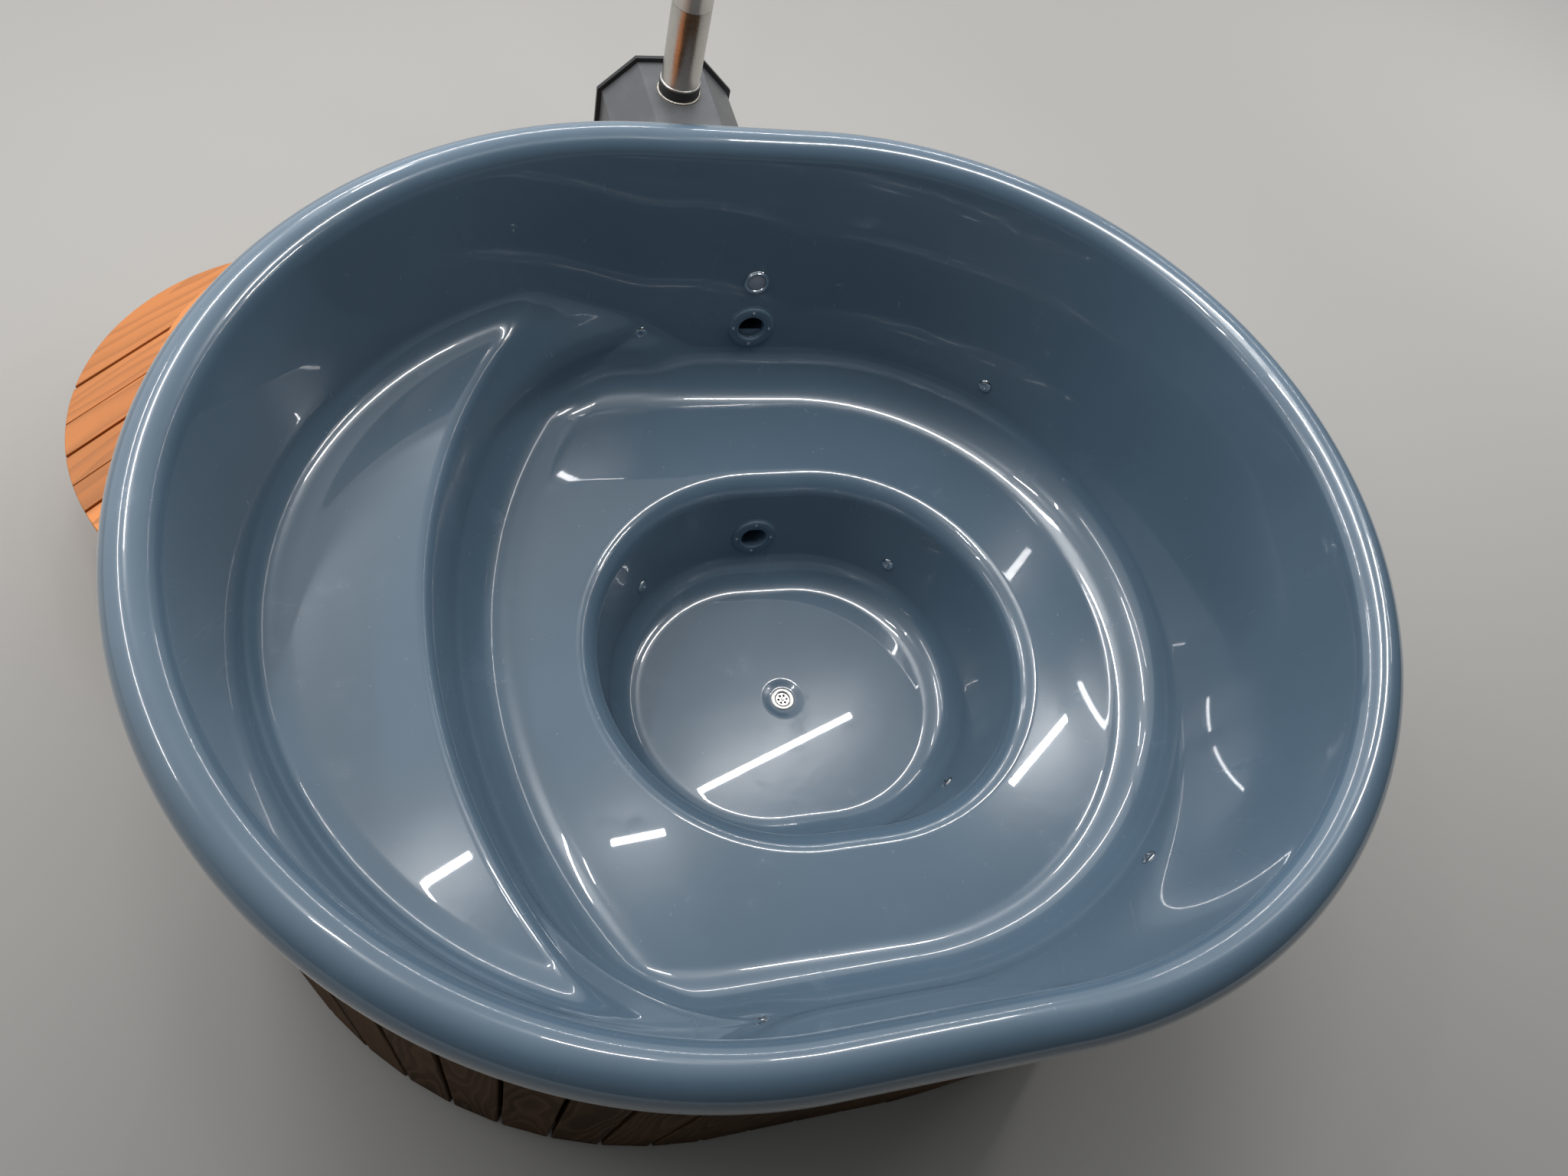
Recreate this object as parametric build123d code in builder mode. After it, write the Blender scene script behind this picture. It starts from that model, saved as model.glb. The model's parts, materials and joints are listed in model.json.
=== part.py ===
from build123d import *
from math import asin, cos, pi, radians, sin, sqrt, tan
import os

# An oval hot tub: a moulded liner in a round of upright boards, with a wood heater behind it and a
# two-tier step beside it. Millimetres. The origin is on the floor below the middle of the oval,
# +X runs along its length, +Y points to the heater and +Z is up.

os.makedirs("parts", exist_ok=True)

# Tub outline and liner
rim_height = 1060  # floor to the crest of the rim
half_straight = 190  # half of the straight stretch between the two half-round ends
lip_radius = 980  # outside of the rolled rim at the round ends
roll_radius = 47
lip_drop = 14
liner_wall = 8
wall_slope = 10.2  # degrees off upright
bench_depth = 390  # crescent bench below the crest
seat_depth = 640
bench_front = 705  # middle of the bench's front edge, from the middle of the oval
riser_radius = 1290
riser_slope = 15
bench_cove = 60  # inside rounding where the wall meets the bench
corner_cove = 180
seat_cove = 105
bench_nose = 24
seat_nose = 45
well_x = 134
well_straight = 63
well_radius = 442
well_slope = 12
well_cove = 70
mould_step = 0.5  # the lower mould sits this far inside the upper one
mould_lap = 90

# Timber round the tub
board_count = 64
board_gap = 8
board_thickness = 20
board_bevel = 3
cladding_setback = 22  # outer face of the boards behind the outside of the lip
board_bottom = 15
board_top_gap = 40  # board tops below the crest of the roll's hollow
ring_width = 40
ring_height = 40
ring_clearance = 0.4
bearer_width = 45
bearer_height = 95
bearer_pitch = 268
bearer_count = 7
timber_inset = 2  # studs and bearers behind the rings' outer faces
stud_size = 45
stud_angles = (-75, -45, -15, 15, 45, 75)
prop_size = 45

# Water fittings
port_x = 97
upper_port_z = 582
lower_port_height = 136  # above the foot well's floor
port_flange_radius = 58
port_bore_radius = 32.8
port_flange_thickness = 6
port_tail_wall = 3.7
port_tail_length = 62
port_screw_circle = 92
port_screw_radius = 2.5
port_pad_height = 1.6  # flat moulded pad under a port flange
port_pad_margin = 4
hose_wall = 5
hose_grip = 30  # length of the hose pushed over a tail
hose_lead = 70  # straight length before the hose bends
hose_bend = 150
hose_clearance = 12
fit_gap = 0.3  # between pieces that are seated but not welded
lamp_x = 90
lamp_z = 715
lamp_radius = 31.5
lamp_lens_radius = 22
lamp_seat = 3  # width of the body's rim under the bezel
nozzle_radius = 17.5
nozzle_body_radius = 12
cap_float = 0.2  # under the edge of a flat cap on a curved wall
wall_nozzle_z = 565
wall_nozzle_x = -180
wall_nozzle_angle = 51
well_nozzle_height = 117  # above the foot well's floor
well_nozzle_angles = (50, 134, -134, -50)
drain_x = 128
drain_flange_radius = 30.5
drain_tube_radius = 21
drain_bore_radius = 18
drain_pipe_z = 45
drain_pipe_radius = 20
drain_pipe_bore = 17
drain_pipe_reach = 27  # past the boards
drain_pipe_clearance = 3
pipe_socket = 18  # depth of a pipe's end in its fitting
valve_length = 80
valve_radius = 29
ball_radius = 23
lever_length = 120

# Heater, in its own frame: u across, v away from the tub, z up
heater_x = 95
heater_gap = 242  # from the boards to the heater's tub end
heater_yaw = 4.4
heater_length = 645
heater_width = 384
heater_cut = 98
heater_top = 560
shell_wall = 4
plate_overhang = 13
front_plate_thickness = 12
firebox_width = 280
firebox_cut = 70
firebox_start = 60
door_opening_width = 220
door_opening_height = 210
door_width = 262
door_height = 250
door_thickness = 8
seal_thickness = 6
seal_width = 12
flue_place = 522  # along v
flue_radius = 55.5
flue_wall = 1.5
collar_radius = 59
collar_wall = 3
collar_height = 35
weld_radius = 65
lower_flue_top = 835
flue_lap = 50
upper_flue_length = 1000
spigot_length = 50
upper_spigot_z = 490
lower_spigot_z = 224

# Step, in its own frame: u along the planks, v away from the tub
step_turn = 44
step_clearance = 2  # between the step's flat back and the boards
lower_step_height = 300
lower_step_radius = 555
lower_step_centre = 1069
upper_step_height = 585
upper_step_radius = 410
upper_step_centre = 914
plank_thickness = 28
plank_pitch = 143
plank_gap = 6
front_plank_width = 104
slat_width = 84
slat_gap = 6
slat_thickness = 20
tread_overhang = 8
former_thickness = 18

# Worked out from the sizes above
bench_z = rim_height - bench_depth
seat_z = rim_height - seat_depth
floor_z = bearer_height + liner_wall
roll_centre_r = lip_radius - roll_radius
roll_centre_z = rim_height - roll_radius
wall_top_r = roll_centre_r - roll_radius * cos(radians(wall_slope))
wall_top_z = roll_centre_z + roll_radius * sin(radians(wall_slope))
riser_x = riser_radius - bench_front
lower_port_z = floor_z + lower_port_height
well_nozzle_z = floor_z + well_nozzle_height
cladding_radius = lip_radius - cladding_setback
inner_board_radius = cladding_radius - board_thickness
board_top = rim_height - liner_wall - board_top_gap
ring_radius = inner_board_radius - ring_clearance
port_tail_radius = port_bore_radius + port_tail_wall
hose_bore_radius = port_tail_radius + fit_gap
hose_radius = hose_bore_radius + hose_wall
drain_pipe_end = cladding_radius + drain_pipe_reach
heater_y = cladding_radius + heater_gap
heater_z = heater_top - heater_width / 2
flue_bore_radius = flue_radius - flue_wall
step_back = cladding_radius + step_clearance


def wall_radius(z):
    """Inside of the liner's wall at the round ends, at a height."""
    return wall_top_r - (wall_top_z - z) * tan(radians(wall_slope))


def well_wall_radius(z):
    """Inside of the foot well's wall at its round ends, at a height."""
    return well_radius - (seat_z - z) * tan(radians(well_slope))


def riser_wall_radius(z):
    """Radius of the bench's sloping front about its own middle, at a height."""
    return riser_radius - (bench_z - z) * tan(radians(riser_slope))


def carry_round(section, centre_x, straight):
    """Carry a section round an oval: half turns at both ends and straight runs between them."""
    with BuildPart() as solid:
        for side in (1, -1):
            middle = (centre_x + side * straight, 0, 0)
            end = Plane(origin=middle, x_dir=(0, -side, 0), z_dir=(-side, 0, 0))
            face = section(end)
            revolve(face, axis=Axis(end.origin, (0, 0, 1)), revolution_arc=180)
            extrude(face, amount=2 * straight)
    return solid.part


def bowl_section(plane, radius_at, bottom, top, rounding=0):
    """Half of a bowl's upright section, with the corner at its foot rounded."""
    foot, corner, brim = (0, bottom), (radius_at(bottom), bottom), (radius_at(top), top)
    with BuildSketch(plane) as face:
        with BuildLine():
            if rounding:
                FilletPolyline(foot, corner, brim, radius=rounding)
            else:
                Polyline(foot, corner, brim)
            Polyline(brim, (0, top), foot)
        make_face()
    return face.sketch


def roll_section(plane):
    """The rim's half-round roll, from the top of the wall over the crest to its hanging lip."""
    outer, inner = roll_radius, roll_radius - liner_wall
    lean = 180 - wall_slope
    with BuildSketch(plane) as face:
        with BuildLine():
            over = CenterArc((roll_centre_r, roll_centre_z), outer, 0, lean)
            under = CenterArc((roll_centre_r, roll_centre_z), inner, 0, lean)
            Line(over @ 1, under @ 1)
            Polyline(
                over @ 0,
                (lip_radius, roll_centre_z - lip_drop),
                (lip_radius - liner_wall, roll_centre_z - lip_drop),
                under @ 0,
            )
        make_face()
    return face.sketch


def bench_cutter(bottom, top, grow):
    """A tall cone whose side is the bench's sloping front."""
    with BuildPart() as cone:
        with BuildSketch(Plane.XZ):
            with BuildLine():
                Polyline(
                    (riser_x, bottom),
                    (riser_x - riser_wall_radius(bottom) - grow, bottom),
                    (riser_x - riser_wall_radius(top) - grow, top),
                    (riser_x, top),
                    close=True,
                )
            make_face()
        revolve(axis=Axis((riser_x, 0, 0), (0, 0, 1)))
    return cone.part


def bathing_space(wall):
    """The space inside the liner, or with a wall's thickness, the outside of the liner."""
    across = wall / cos(radians(wall_slope))
    well_grow = wall / cos(radians(well_slope))
    lap_top = bench_z + mould_lap
    seat_bottom = seat_z - wall
    upper = carry_round(
        lambda plane: bowl_section(
            plane, lambda z: wall_radius(z) + across, bench_z - wall, wall_top_z, bench_cove + wall
        ),
        0,
        half_straight,
    )
    below = carry_round(
        lambda plane: bowl_section(
            plane, lambda z: wall_radius(z) + across - mould_step, seat_bottom, lap_top
        ),
        0,
        half_straight,
    )
    well = carry_round(
        lambda plane: bowl_section(
            plane, lambda z: well_wall_radius(z) + well_grow, floor_z - wall, seat_z, well_cove + wall
        ),
        well_x,
        well_straight,
    )
    with BuildPart() as lower:
        add(below)
        add(bench_cutter(seat_bottom - 1, lap_top + 1, across), mode=Mode.INTERSECT)
        fillet(lower.edges().filter_by(GeomType.BSPLINE), corner_cove + wall)
        fillet(lower.faces().sort_by(Axis.Z)[0].edges(), seat_cove + wall)
    with BuildPart() as space:
        add(upper)
        add(lower.part)
        add(well)
    return space.part


def fitting_plane(centre_x, radius, angle, z, slope):
    """A plane on a sloping wall that faces into the tub, at an angle round the oval's end."""
    out_x, out_y = cos(radians(angle)), sin(radians(angle))
    lean = radians(slope)
    inward = (-out_x * cos(lean), -out_y * cos(lean), sin(lean))
    origin = (centre_x + radius * out_x, radius * out_y, z)
    return Plane(origin=origin, x_dir=(-out_y, out_x, 0), z_dir=inward)


def wall_place(centre_x, angle, z, lift=0):
    """A fitting's plane on the bathing wall, which the lower mould makes."""
    return fitting_plane(centre_x, wall_radius(z) - mould_step, angle, z, wall_slope).offset(lift)


def well_place(centre_x, angle, z, lift=0):
    """A fitting's plane on the foot well's wall."""
    return fitting_plane(centre_x, well_wall_radius(z), angle, z, well_slope).offset(lift)


def nozzle_lift(radius):
    """How far a flat cap stands off a curved wall when its edge touches it."""
    return nozzle_radius**2 / (2 * radius) + cap_float


upper_port = wall_place(port_x, 90, upper_port_z, port_pad_height)
lower_port = well_place(port_x, 90, lower_port_z, port_pad_height)
lamp_place = wall_place(lamp_x, 90, lamp_z)
wall_lift = nozzle_lift(wall_radius(wall_nozzle_z))
well_lift = nozzle_lift(well_wall_radius(well_nozzle_z))
nozzle_places = []
for side in (1, -1):
    nozzle_places.append(wall_place(half_straight, side * wall_nozzle_angle, wall_nozzle_z, wall_lift))
    nozzle_places.append(wall_place(wall_nozzle_x, side * 90, wall_nozzle_z, wall_lift))
for angle in well_nozzle_angles:
    end_x = well_x + (well_straight if abs(angle) < 90 else -well_straight)
    nozzle_places.append(well_place(end_x, angle, well_nozzle_z, well_lift))
lamp_body_radius = lamp_lens_radius + lamp_seat


def heater_section(distance):
    """A plane across the heater at a distance from its tub end, facing the tub, with local Y upwards."""
    turn = radians(heater_yaw)
    away = Vector(-sin(turn), cos(turn), 0)
    origin = Vector(heater_x, heater_y, 0) + away * distance
    return Plane(origin=origin, x_dir=(cos(turn), sin(turn), 0), z_dir=-away)


def heater_level(height, across=0, along=0):
    """A level plane over the heater's axis, with local X across and local Y away from the tub."""
    section = heater_section(along)
    origin = section.origin + section.x_dir * across + Vector(0, 0, height)
    return Plane(origin=origin, x_dir=section.x_dir, z_dir=(0, 0, 1))


def hose_route(port, height):
    """Corners of a hose's middle line, from a port's tail to the heater's spigot at a height."""
    tail_mouth = port.origin - port.z_dir * (port_tail_length - hose_grip)
    leaving = port.origin - port.z_dir * (port_tail_length + hose_lead)
    arriving = heater_section(-spigot_length - hose_lead).origin + Vector(0, 0, height)
    spigot_mouth = heater_section(hose_grip - spigot_length).origin + Vector(0, 0, height)
    return [tail_mouth, leaving, arriving, spigot_mouth]


def height_at_boards(route):
    """Height of a hose's middle line where it passes the boards."""
    leaving, arriving = route[1], route[2]
    share = (cladding_radius - board_thickness / 2 - leaving.Y) / (arriving.Y - leaving.Y)
    return leaving.Z + share * (arriving.Z - leaving.Z)


hose_routes = [hose_route(upper_port, upper_spigot_z), hose_route(lower_port, lower_spigot_z)]
dish_radius = 58
dish_depth = 4
drain_seat_z = floor_z - dish_depth


def is_well_brim(edge):
    """Whether an edge at the seat's height runs round the foot well."""
    if edge.geom_type == GeomType.LINE:
        return abs(abs(edge.center().Y) - well_radius) < 1
    return edge.geom_type == GeomType.CIRCLE and abs(edge.radius - well_radius) < 1


def is_bench_edge(edge):
    """Whether an edge at the bench's height is its curved front."""
    return edge.geom_type == GeomType.CIRCLE and abs(edge.radius - riser_radius) < 1


# Liner: one moulding with a rolled rim, a crescent bench, a seat ledge and a foot well
inside = bathing_space(0)
outside = bathing_space(liner_wall)
rolled_rim = carry_round(roll_section, 0, half_straight)
with BuildPart() as liner:
    add(outside)
    add(inside, mode=Mode.SUBTRACT)
    fillet(liner.edges().filter_by_position(Axis.Z, seat_z, seat_z).filter_by(is_well_brim), seat_nose)
    fillet(liner.edges().filter_by_position(Axis.Z, bench_z, bench_z).filter_by(is_bench_edge), bench_nose)
    add(rolled_rim)
    for port in (upper_port, lower_port):
        with BuildSketch(port):
            Circle(port_flange_radius + port_pad_margin)
        extrude(amount=-port_pad_height - liner_wall / 2)
        with BuildSketch(port):
            Circle(port_tail_radius + fit_gap)
        extrude(amount=2 * liner_wall, both=True, mode=Mode.SUBTRACT)
    with BuildSketch(lamp_place):
        Circle(lamp_body_radius + fit_gap)
    extrude(amount=2 * liner_wall, both=True, mode=Mode.SUBTRACT)
    for place in nozzle_places:
        with BuildSketch(place):
            Circle(nozzle_body_radius + fit_gap)
        extrude(amount=2 * liner_wall, both=True, mode=Mode.SUBTRACT)
    with Locations((drain_x, 0, floor_z)):
        Hole(drain_tube_radius + fit_gap, depth=2 * liner_wall)
    with BuildSketch(Plane.XY.offset(floor_z)):
        with Locations((drain_x, 0)):
            Circle(dish_radius)
    with BuildSketch(Plane.XY.offset(drain_seat_z)):
        with Locations((drain_x, 0)):
            Circle(drain_flange_radius + fit_gap)
    loft(mode=Mode.SUBTRACT)
liner.part.label = "liner"
export_step(liner.part, "parts/liner.step")


def oval_spot(distance, radius):
    """Place on an oval of a radius, at a distance round it, with its local X pointing outwards."""
    arc, straight = pi * radius, 2 * half_straight
    run = distance % (2 * (arc + straight))
    if run < arc:
        angle = -90 + 180 * run / arc
        centre_x = half_straight
    elif run < arc + straight:
        angle = 90
        centre_x = half_straight - (run - arc)
    elif run < 2 * arc + straight:
        angle = 90 + 180 * (run - arc - straight) / arc
        centre_x = -half_straight
    else:
        angle = 270
        centre_x = -half_straight + (run - 2 * arc - straight)
    return Location(
        (centre_x + radius * cos(radians(angle)), radius * sin(radians(angle)), 0), (0, 0, angle)
    )


facing_tolerance = 0.001  # degrees


def board_spots(first_angle, last_angle):
    """Places of the boards that face between two angles."""
    radius = cladding_radius - board_thickness / 2
    lap = 2 * (pi * radius + 2 * half_straight)
    spots = []
    for number in range(board_count):
        spot = oval_spot((number + 0.5) * lap / board_count, radius)
        facing = (spot.orientation.Z + 90 + facing_tolerance) % 360 - 90
        if first_angle < facing < last_angle:
            spots.append(spot)
    return spots


def boards(spots):
    """Upright boards with bevelled outer edges."""
    radius = cladding_radius - board_thickness / 2
    width = 2 * (pi * radius + 2 * half_straight) / board_count - board_gap
    half_width, half_thickness = width / 2, board_thickness / 2
    with BuildPart() as group:
        with BuildSketch(Plane.XY.offset(board_bottom)):
            with Locations(*spots):
                Polygon(
                    (-half_thickness, -half_width),
                    (half_thickness - board_bevel, -half_width),
                    (half_thickness, board_bevel - half_width),
                    (half_thickness, half_width - board_bevel),
                    (half_thickness - board_bevel, half_width),
                    (-half_thickness, half_width),
                )
        extrude(amount=board_top - board_bottom)
    return group.part


# Cladding: bevelled boards round the ends, along the front, and along the back with pipe holes
with BuildPart() as cladding_right_end:
    add(boards(board_spots(-89, 89)))
cladding_right_end.part.label = "cladding_right_end"
export_step(cladding_right_end.part, "parts/cladding_right_end.step")

with BuildPart() as cladding_left_end:
    add(boards(board_spots(91, 269)))
cladding_left_end.part.label = "cladding_left_end"
export_step(cladding_left_end.part, "parts/cladding_left_end.step")

with BuildPart() as cladding_front:
    add(boards(board_spots(269, 271) + board_spots(-91, -89)))
cladding_front.part.label = "cladding_front"
export_step(cladding_front.part, "parts/cladding_front.step")

with BuildPart() as cladding_back:
    add(boards(board_spots(89, 91)))
    with BuildSketch(Plane.XZ.offset(board_thickness - inner_board_radius)):
        with Locations(*[(port_x, height_at_boards(route)) for route in hose_routes]):
            Circle(hose_radius + hose_clearance)
        with Locations((drain_x, drain_pipe_z)):
            Circle(drain_pipe_radius + drain_pipe_clearance)
    extrude(amount=-3 * board_thickness, mode=Mode.SUBTRACT)
cladding_back.part.label = "cladding_back"
export_step(cladding_back.part, "parts/cladding_back.step")


def timber_ring(bottom):
    """A flat oval ring that the boards are fixed to."""
    with BuildPart() as ring:
        with BuildSketch(Plane.XY.offset(bottom)):
            SlotCenterToCenter(2 * half_straight, 2 * ring_radius)
            SlotCenterToCenter(2 * half_straight, 2 * (ring_radius - ring_width), mode=Mode.SUBTRACT)
        extrude(amount=ring_height)
    return ring.part


# Frame behind the boards: two rings, studs between them, bearers and seat props
upper_ring_bottom = board_top - ring_height
with BuildPart() as upper_ring:
    add(timber_ring(upper_ring_bottom))
upper_ring.part.label = "upper_ring"
export_step(upper_ring.part, "parts/upper_ring.step")

with BuildPart() as lower_ring:
    add(timber_ring(bearer_height))
lower_ring.part.label = "lower_ring"
export_step(lower_ring.part, "parts/lower_ring.step")

stud_radius = ring_radius - stud_size / 2 - timber_inset
with BuildPart() as studs:
    with BuildSketch(Plane.XY.offset(bearer_height + ring_height)):
        for side in (1, -1):
            for angle in stud_angles:
                reach = Vector(side * stud_radius, 0).rotate(Axis.Z, angle)
                spot = (side * half_straight + reach.X, reach.Y, 0)
                with Locations(Location(spot, (0, 0, angle))):
                    Rectangle(stud_size, stud_size)
    extrude(amount=upper_ring_bottom - bearer_height - ring_height)
studs.part.label = "studs"
export_step(studs.part, "parts/studs.step")


def bearer_places():
    """Middles of the bearers along X."""
    return [bearer_pitch * (number - (bearer_count - 1) / 2) for number in range(bearer_count)]


def bearer_half_length(x):
    """How far a bearer reaches before its corner meets the inside of the boards."""
    beyond = max(abs(x) + bearer_width / 2 - half_straight, 0)
    return sqrt((ring_radius - timber_inset) ** 2 - beyond**2)


with BuildPart() as base_bearers:
    with BuildSketch():
        for x in bearer_places():
            with Locations((x, 0)):
                Rectangle(bearer_width, 2 * bearer_half_length(x))
    extrude(amount=bearer_height)
base_bearers.part.label = "base_bearers"
export_step(base_bearers.part, "parts/base_bearers.step")

seat_prop_reach = 575
bench_prop_pitch = 300
seat_prop_spots = [(x, side * seat_prop_reach) for x in (0, bearer_pitch) for side in (1, -1)]
seat_prop_spots.append((3 * bearer_pitch, 0))
bench_prop_spots = [(-3 * bearer_pitch, step * bench_prop_pitch) for step in (-1, 0, 1)]
with BuildPart() as seat_props:
    with BuildSketch(Plane.XY.offset(bearer_height)):
        with Locations(*seat_prop_spots):
            Rectangle(prop_size, prop_size)
    extrude(amount=seat_z - liner_wall - bearer_height)
    with BuildSketch(Plane.XY.offset(bearer_height)):
        with Locations(*bench_prop_spots):
            Rectangle(prop_size, prop_size)
    extrude(amount=bench_z - liner_wall - bearer_height)
seat_props.part.label = "seat_props"
export_step(seat_props.part, "parts/seat_props.step")


def revolved(plane, points):
    """A turned piece: a closed outline in (radius, height) revolved about a plane's normal."""
    with BuildPart() as piece:
        with BuildSketch(Plane(origin=plane.origin, x_dir=plane.x_dir, z_dir=-plane.y_dir)) as face:
            with BuildLine():
                Polyline(*points, close=True)
            make_face()
        revolve(face.sketch, axis=Axis(plane.origin, plane.z_dir))
    return piece.part


flange_bevel = 3
bore_bevel = 2


def port_fitting(place):
    """A flange with four screw holes and a tail that passes through the wall."""
    with BuildPart() as port:
        add(
            revolved(
                place,
                [
                    (port_bore_radius, -port_tail_length),
                    (port_tail_radius, -port_tail_length),
                    (port_tail_radius, 0),
                    (port_flange_radius, 0),
                    (port_flange_radius, port_flange_thickness - flange_bevel),
                    (port_flange_radius - flange_bevel, port_flange_thickness),
                    (port_bore_radius + bore_bevel, port_flange_thickness),
                    (port_bore_radius, port_flange_thickness - bore_bevel),
                ],
            )
        )
        with BuildSketch(place):
            with PolarLocations(port_screw_circle / 2, 4):
                Circle(port_screw_radius)
        extrude(amount=port_flange_thickness, mode=Mode.SUBTRACT)
    return port.part


with BuildPart() as upper_port_flange:
    add(port_fitting(upper_port))
upper_port_flange.part.label = "upper_port_flange"
export_step(upper_port_flange.part, "parts/upper_port_flange.step")

with BuildPart() as lower_port_flange:
    add(port_fitting(lower_port))
lower_port_flange.part.label = "lower_port_flange"
export_step(lower_port_flange.part, "parts/lower_port_flange.step")

screw_head_height = 2
screw_end_gap = 0.2
with BuildPart() as port_screws:
    for place in (upper_port, lower_port):
        for spot in PolarLocations(port_screw_circle / 2, 4):
            seat = Plane(place.from_local_coords(spot.position), x_dir=place.x_dir, z_dir=place.z_dir)
            add(
                revolved(
                    seat,
                    [
                        (0, screw_end_gap),
                        (port_screw_radius - fit_gap, screw_end_gap),
                        (port_screw_radius - fit_gap, port_flange_thickness),
                        (2 * port_screw_radius, port_flange_thickness),
                        (port_screw_radius, port_flange_thickness + screw_head_height),
                        (0, port_flange_thickness + screw_head_height),
                    ],
                )
            )
port_screws.part.label = "port_screws"
export_step(port_screws.part, "parts/port_screws.step")

nut_thickness = 14
nut_radius = 50
nut_top = -liner_wall - port_pad_height - fit_gap
with BuildPart() as port_nuts:
    for place in (upper_port, lower_port):
        add(
            revolved(
                place,
                [
                    (port_tail_radius + fit_gap, nut_top - nut_thickness),
                    (nut_radius, nut_top - nut_thickness),
                    (nut_radius, nut_top),
                    (port_tail_radius + fit_gap, nut_top),
                ],
            )
        )
port_nuts.part.label = "port_nuts"
export_step(port_nuts.part, "parts/port_nuts.step")

# Underwater lamp: bezel, lens and sealed body with its locknut
bezel_height = 5
with BuildPart() as lamp_bezel:
    add(
        revolved(
            lamp_place,
            [
                (lamp_lens_radius + fit_gap, 0),
                (lamp_radius, 0),
                (lamp_radius, bezel_height - flange_bevel),
                (lamp_radius - flange_bevel, bezel_height),
                (lamp_lens_radius + bore_bevel, bezel_height),
                (lamp_lens_radius + fit_gap, bezel_height - bore_bevel),
            ],
        )
    )
lamp_bezel.part.label = "lamp_bezel"
export_step(lamp_bezel.part, "parts/lamp_bezel.step")

lens_edge = 2
lens_shoulder = 3.4
lens_height = 4.4
with BuildPart() as lamp_lens:
    add(
        revolved(
            lamp_place,
            [
                (0, 0),
                (lamp_lens_radius, 0),
                (lamp_lens_radius, lens_edge),
                (lamp_lens_radius - lens_height, lens_shoulder),
                (0, lens_height),
            ],
        )
    )
lamp_lens.part.label = "lamp_lens"
export_step(lamp_lens.part, "parts/lamp_lens.step")

lamp_body_depth = 38
lamp_shell = 2.5
gland_radius = 8
gland_length = 14
with BuildPart() as lamp_body:
    add(
        revolved(
            lamp_place,
            [
                (lamp_body_radius - lamp_shell, 0),
                (lamp_body_radius, 0),
                (lamp_body_radius, -lamp_body_depth),
                (gland_radius, -lamp_body_depth),
                (gland_radius, -lamp_body_depth - gland_length),
                (0, -lamp_body_depth - gland_length),
                (0, lamp_shell - lamp_body_depth),
                (lamp_body_radius - lamp_shell, lamp_shell - lamp_body_depth),
            ],
        )
    )
lamp_body.part.label = "lamp_body"
export_step(lamp_body.part, "parts/lamp_body.step")

with BuildPart() as lamp_nut:
    add(
        revolved(
            lamp_place,
            [
                (lamp_body_radius + fit_gap, nut_top - nut_thickness / 2),
                (lamp_radius, nut_top - nut_thickness / 2),
                (lamp_radius, nut_top),
                (lamp_body_radius + fit_gap, nut_top),
            ],
        )
    )
lamp_nut.part.label = "lamp_nut"
export_step(lamp_nut.part, "parts/lamp_nut.step")

# Air nozzles: chrome caps inside, threaded bodies with locknuts behind the wall
nozzle_cap_height = 5
nozzle_cap_edge = 1.5
nozzle_cap_bevel = 4
cap_dome = 1
nozzle_body_depth = 34
with BuildPart() as nozzle_caps:
    for place in nozzle_places:
        add(
            revolved(
                place,
                [
                    (0, 0),
                    (nozzle_radius, 0),
                    (nozzle_radius, nozzle_cap_edge),
                    (nozzle_radius - nozzle_cap_bevel, nozzle_cap_height - cap_dome),
                    (nozzle_radius / 2, nozzle_cap_height),
                    (0, nozzle_cap_height),
                ],
            )
        )
nozzle_caps.part.label = "nozzle_caps"
export_step(nozzle_caps.part, "parts/nozzle_caps.step")

with BuildPart() as nozzle_bodies:
    for place in nozzle_places:
        add(
            revolved(
                place,
                [
                    (0, 0),
                    (nozzle_body_radius, 0),
                    (nozzle_body_radius, nut_top),
                    (nozzle_radius, nut_top),
                    (nozzle_radius, nut_top - nut_thickness / 2),
                    (nozzle_body_radius, nut_top - nut_thickness / 2),
                    (nozzle_body_radius, -nozzle_body_depth),
                    (0, -nozzle_body_depth),
                ],
            )
        )
nozzle_bodies.part.label = "nozzle_bodies"
export_step(nozzle_bodies.part, "parts/nozzle_bodies.step")

# Drain: flange, strainer and screw in the floor, a tail under it, a pipe to the back and a ball valve
drain_floor = Plane.XY.offset(drain_seat_z).shift_origin((drain_x, 0, drain_seat_z))
drain_tube_length = 26
drain_rim = 3
drain_rim_edge = 1.5
bar_width = 6
bar_height = 8
drain_screw_radius = 2.2
strainer_depth = 4
strainer_thickness = 2
strainer_radius = drain_bore_radius - fit_gap
strainer_step = 3
with BuildPart() as drain_flange:
    add(
        revolved(
            drain_floor,
            [
                (drain_bore_radius - strainer_step, -drain_tube_length),
                (drain_tube_radius, -drain_tube_length),
                (drain_tube_radius, 0),
                (drain_flange_radius, 0),
                (drain_flange_radius, drain_rim_edge),
                (drain_flange_radius - drain_rim, drain_rim),
                (drain_bore_radius + drain_rim, drain_rim),
                (drain_bore_radius, drain_rim - bore_bevel),
                (drain_bore_radius, -strainer_depth),
                (drain_bore_radius - strainer_step, -strainer_depth),
            ],
        )
    )
    with BuildSketch(drain_floor.offset(-drain_tube_length)):
        Rectangle(2 * drain_bore_radius - strainer_step, bar_width)
    extrude(amount=bar_height)
    with BuildSketch(drain_floor.offset(-drain_tube_length)):
        Circle(drain_screw_radius + fit_gap)
    extrude(amount=bar_height, mode=Mode.SUBTRACT)
drain_flange.part.label = "drain_flange"
export_step(drain_flange.part, "parts/drain_flange.step")

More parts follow.
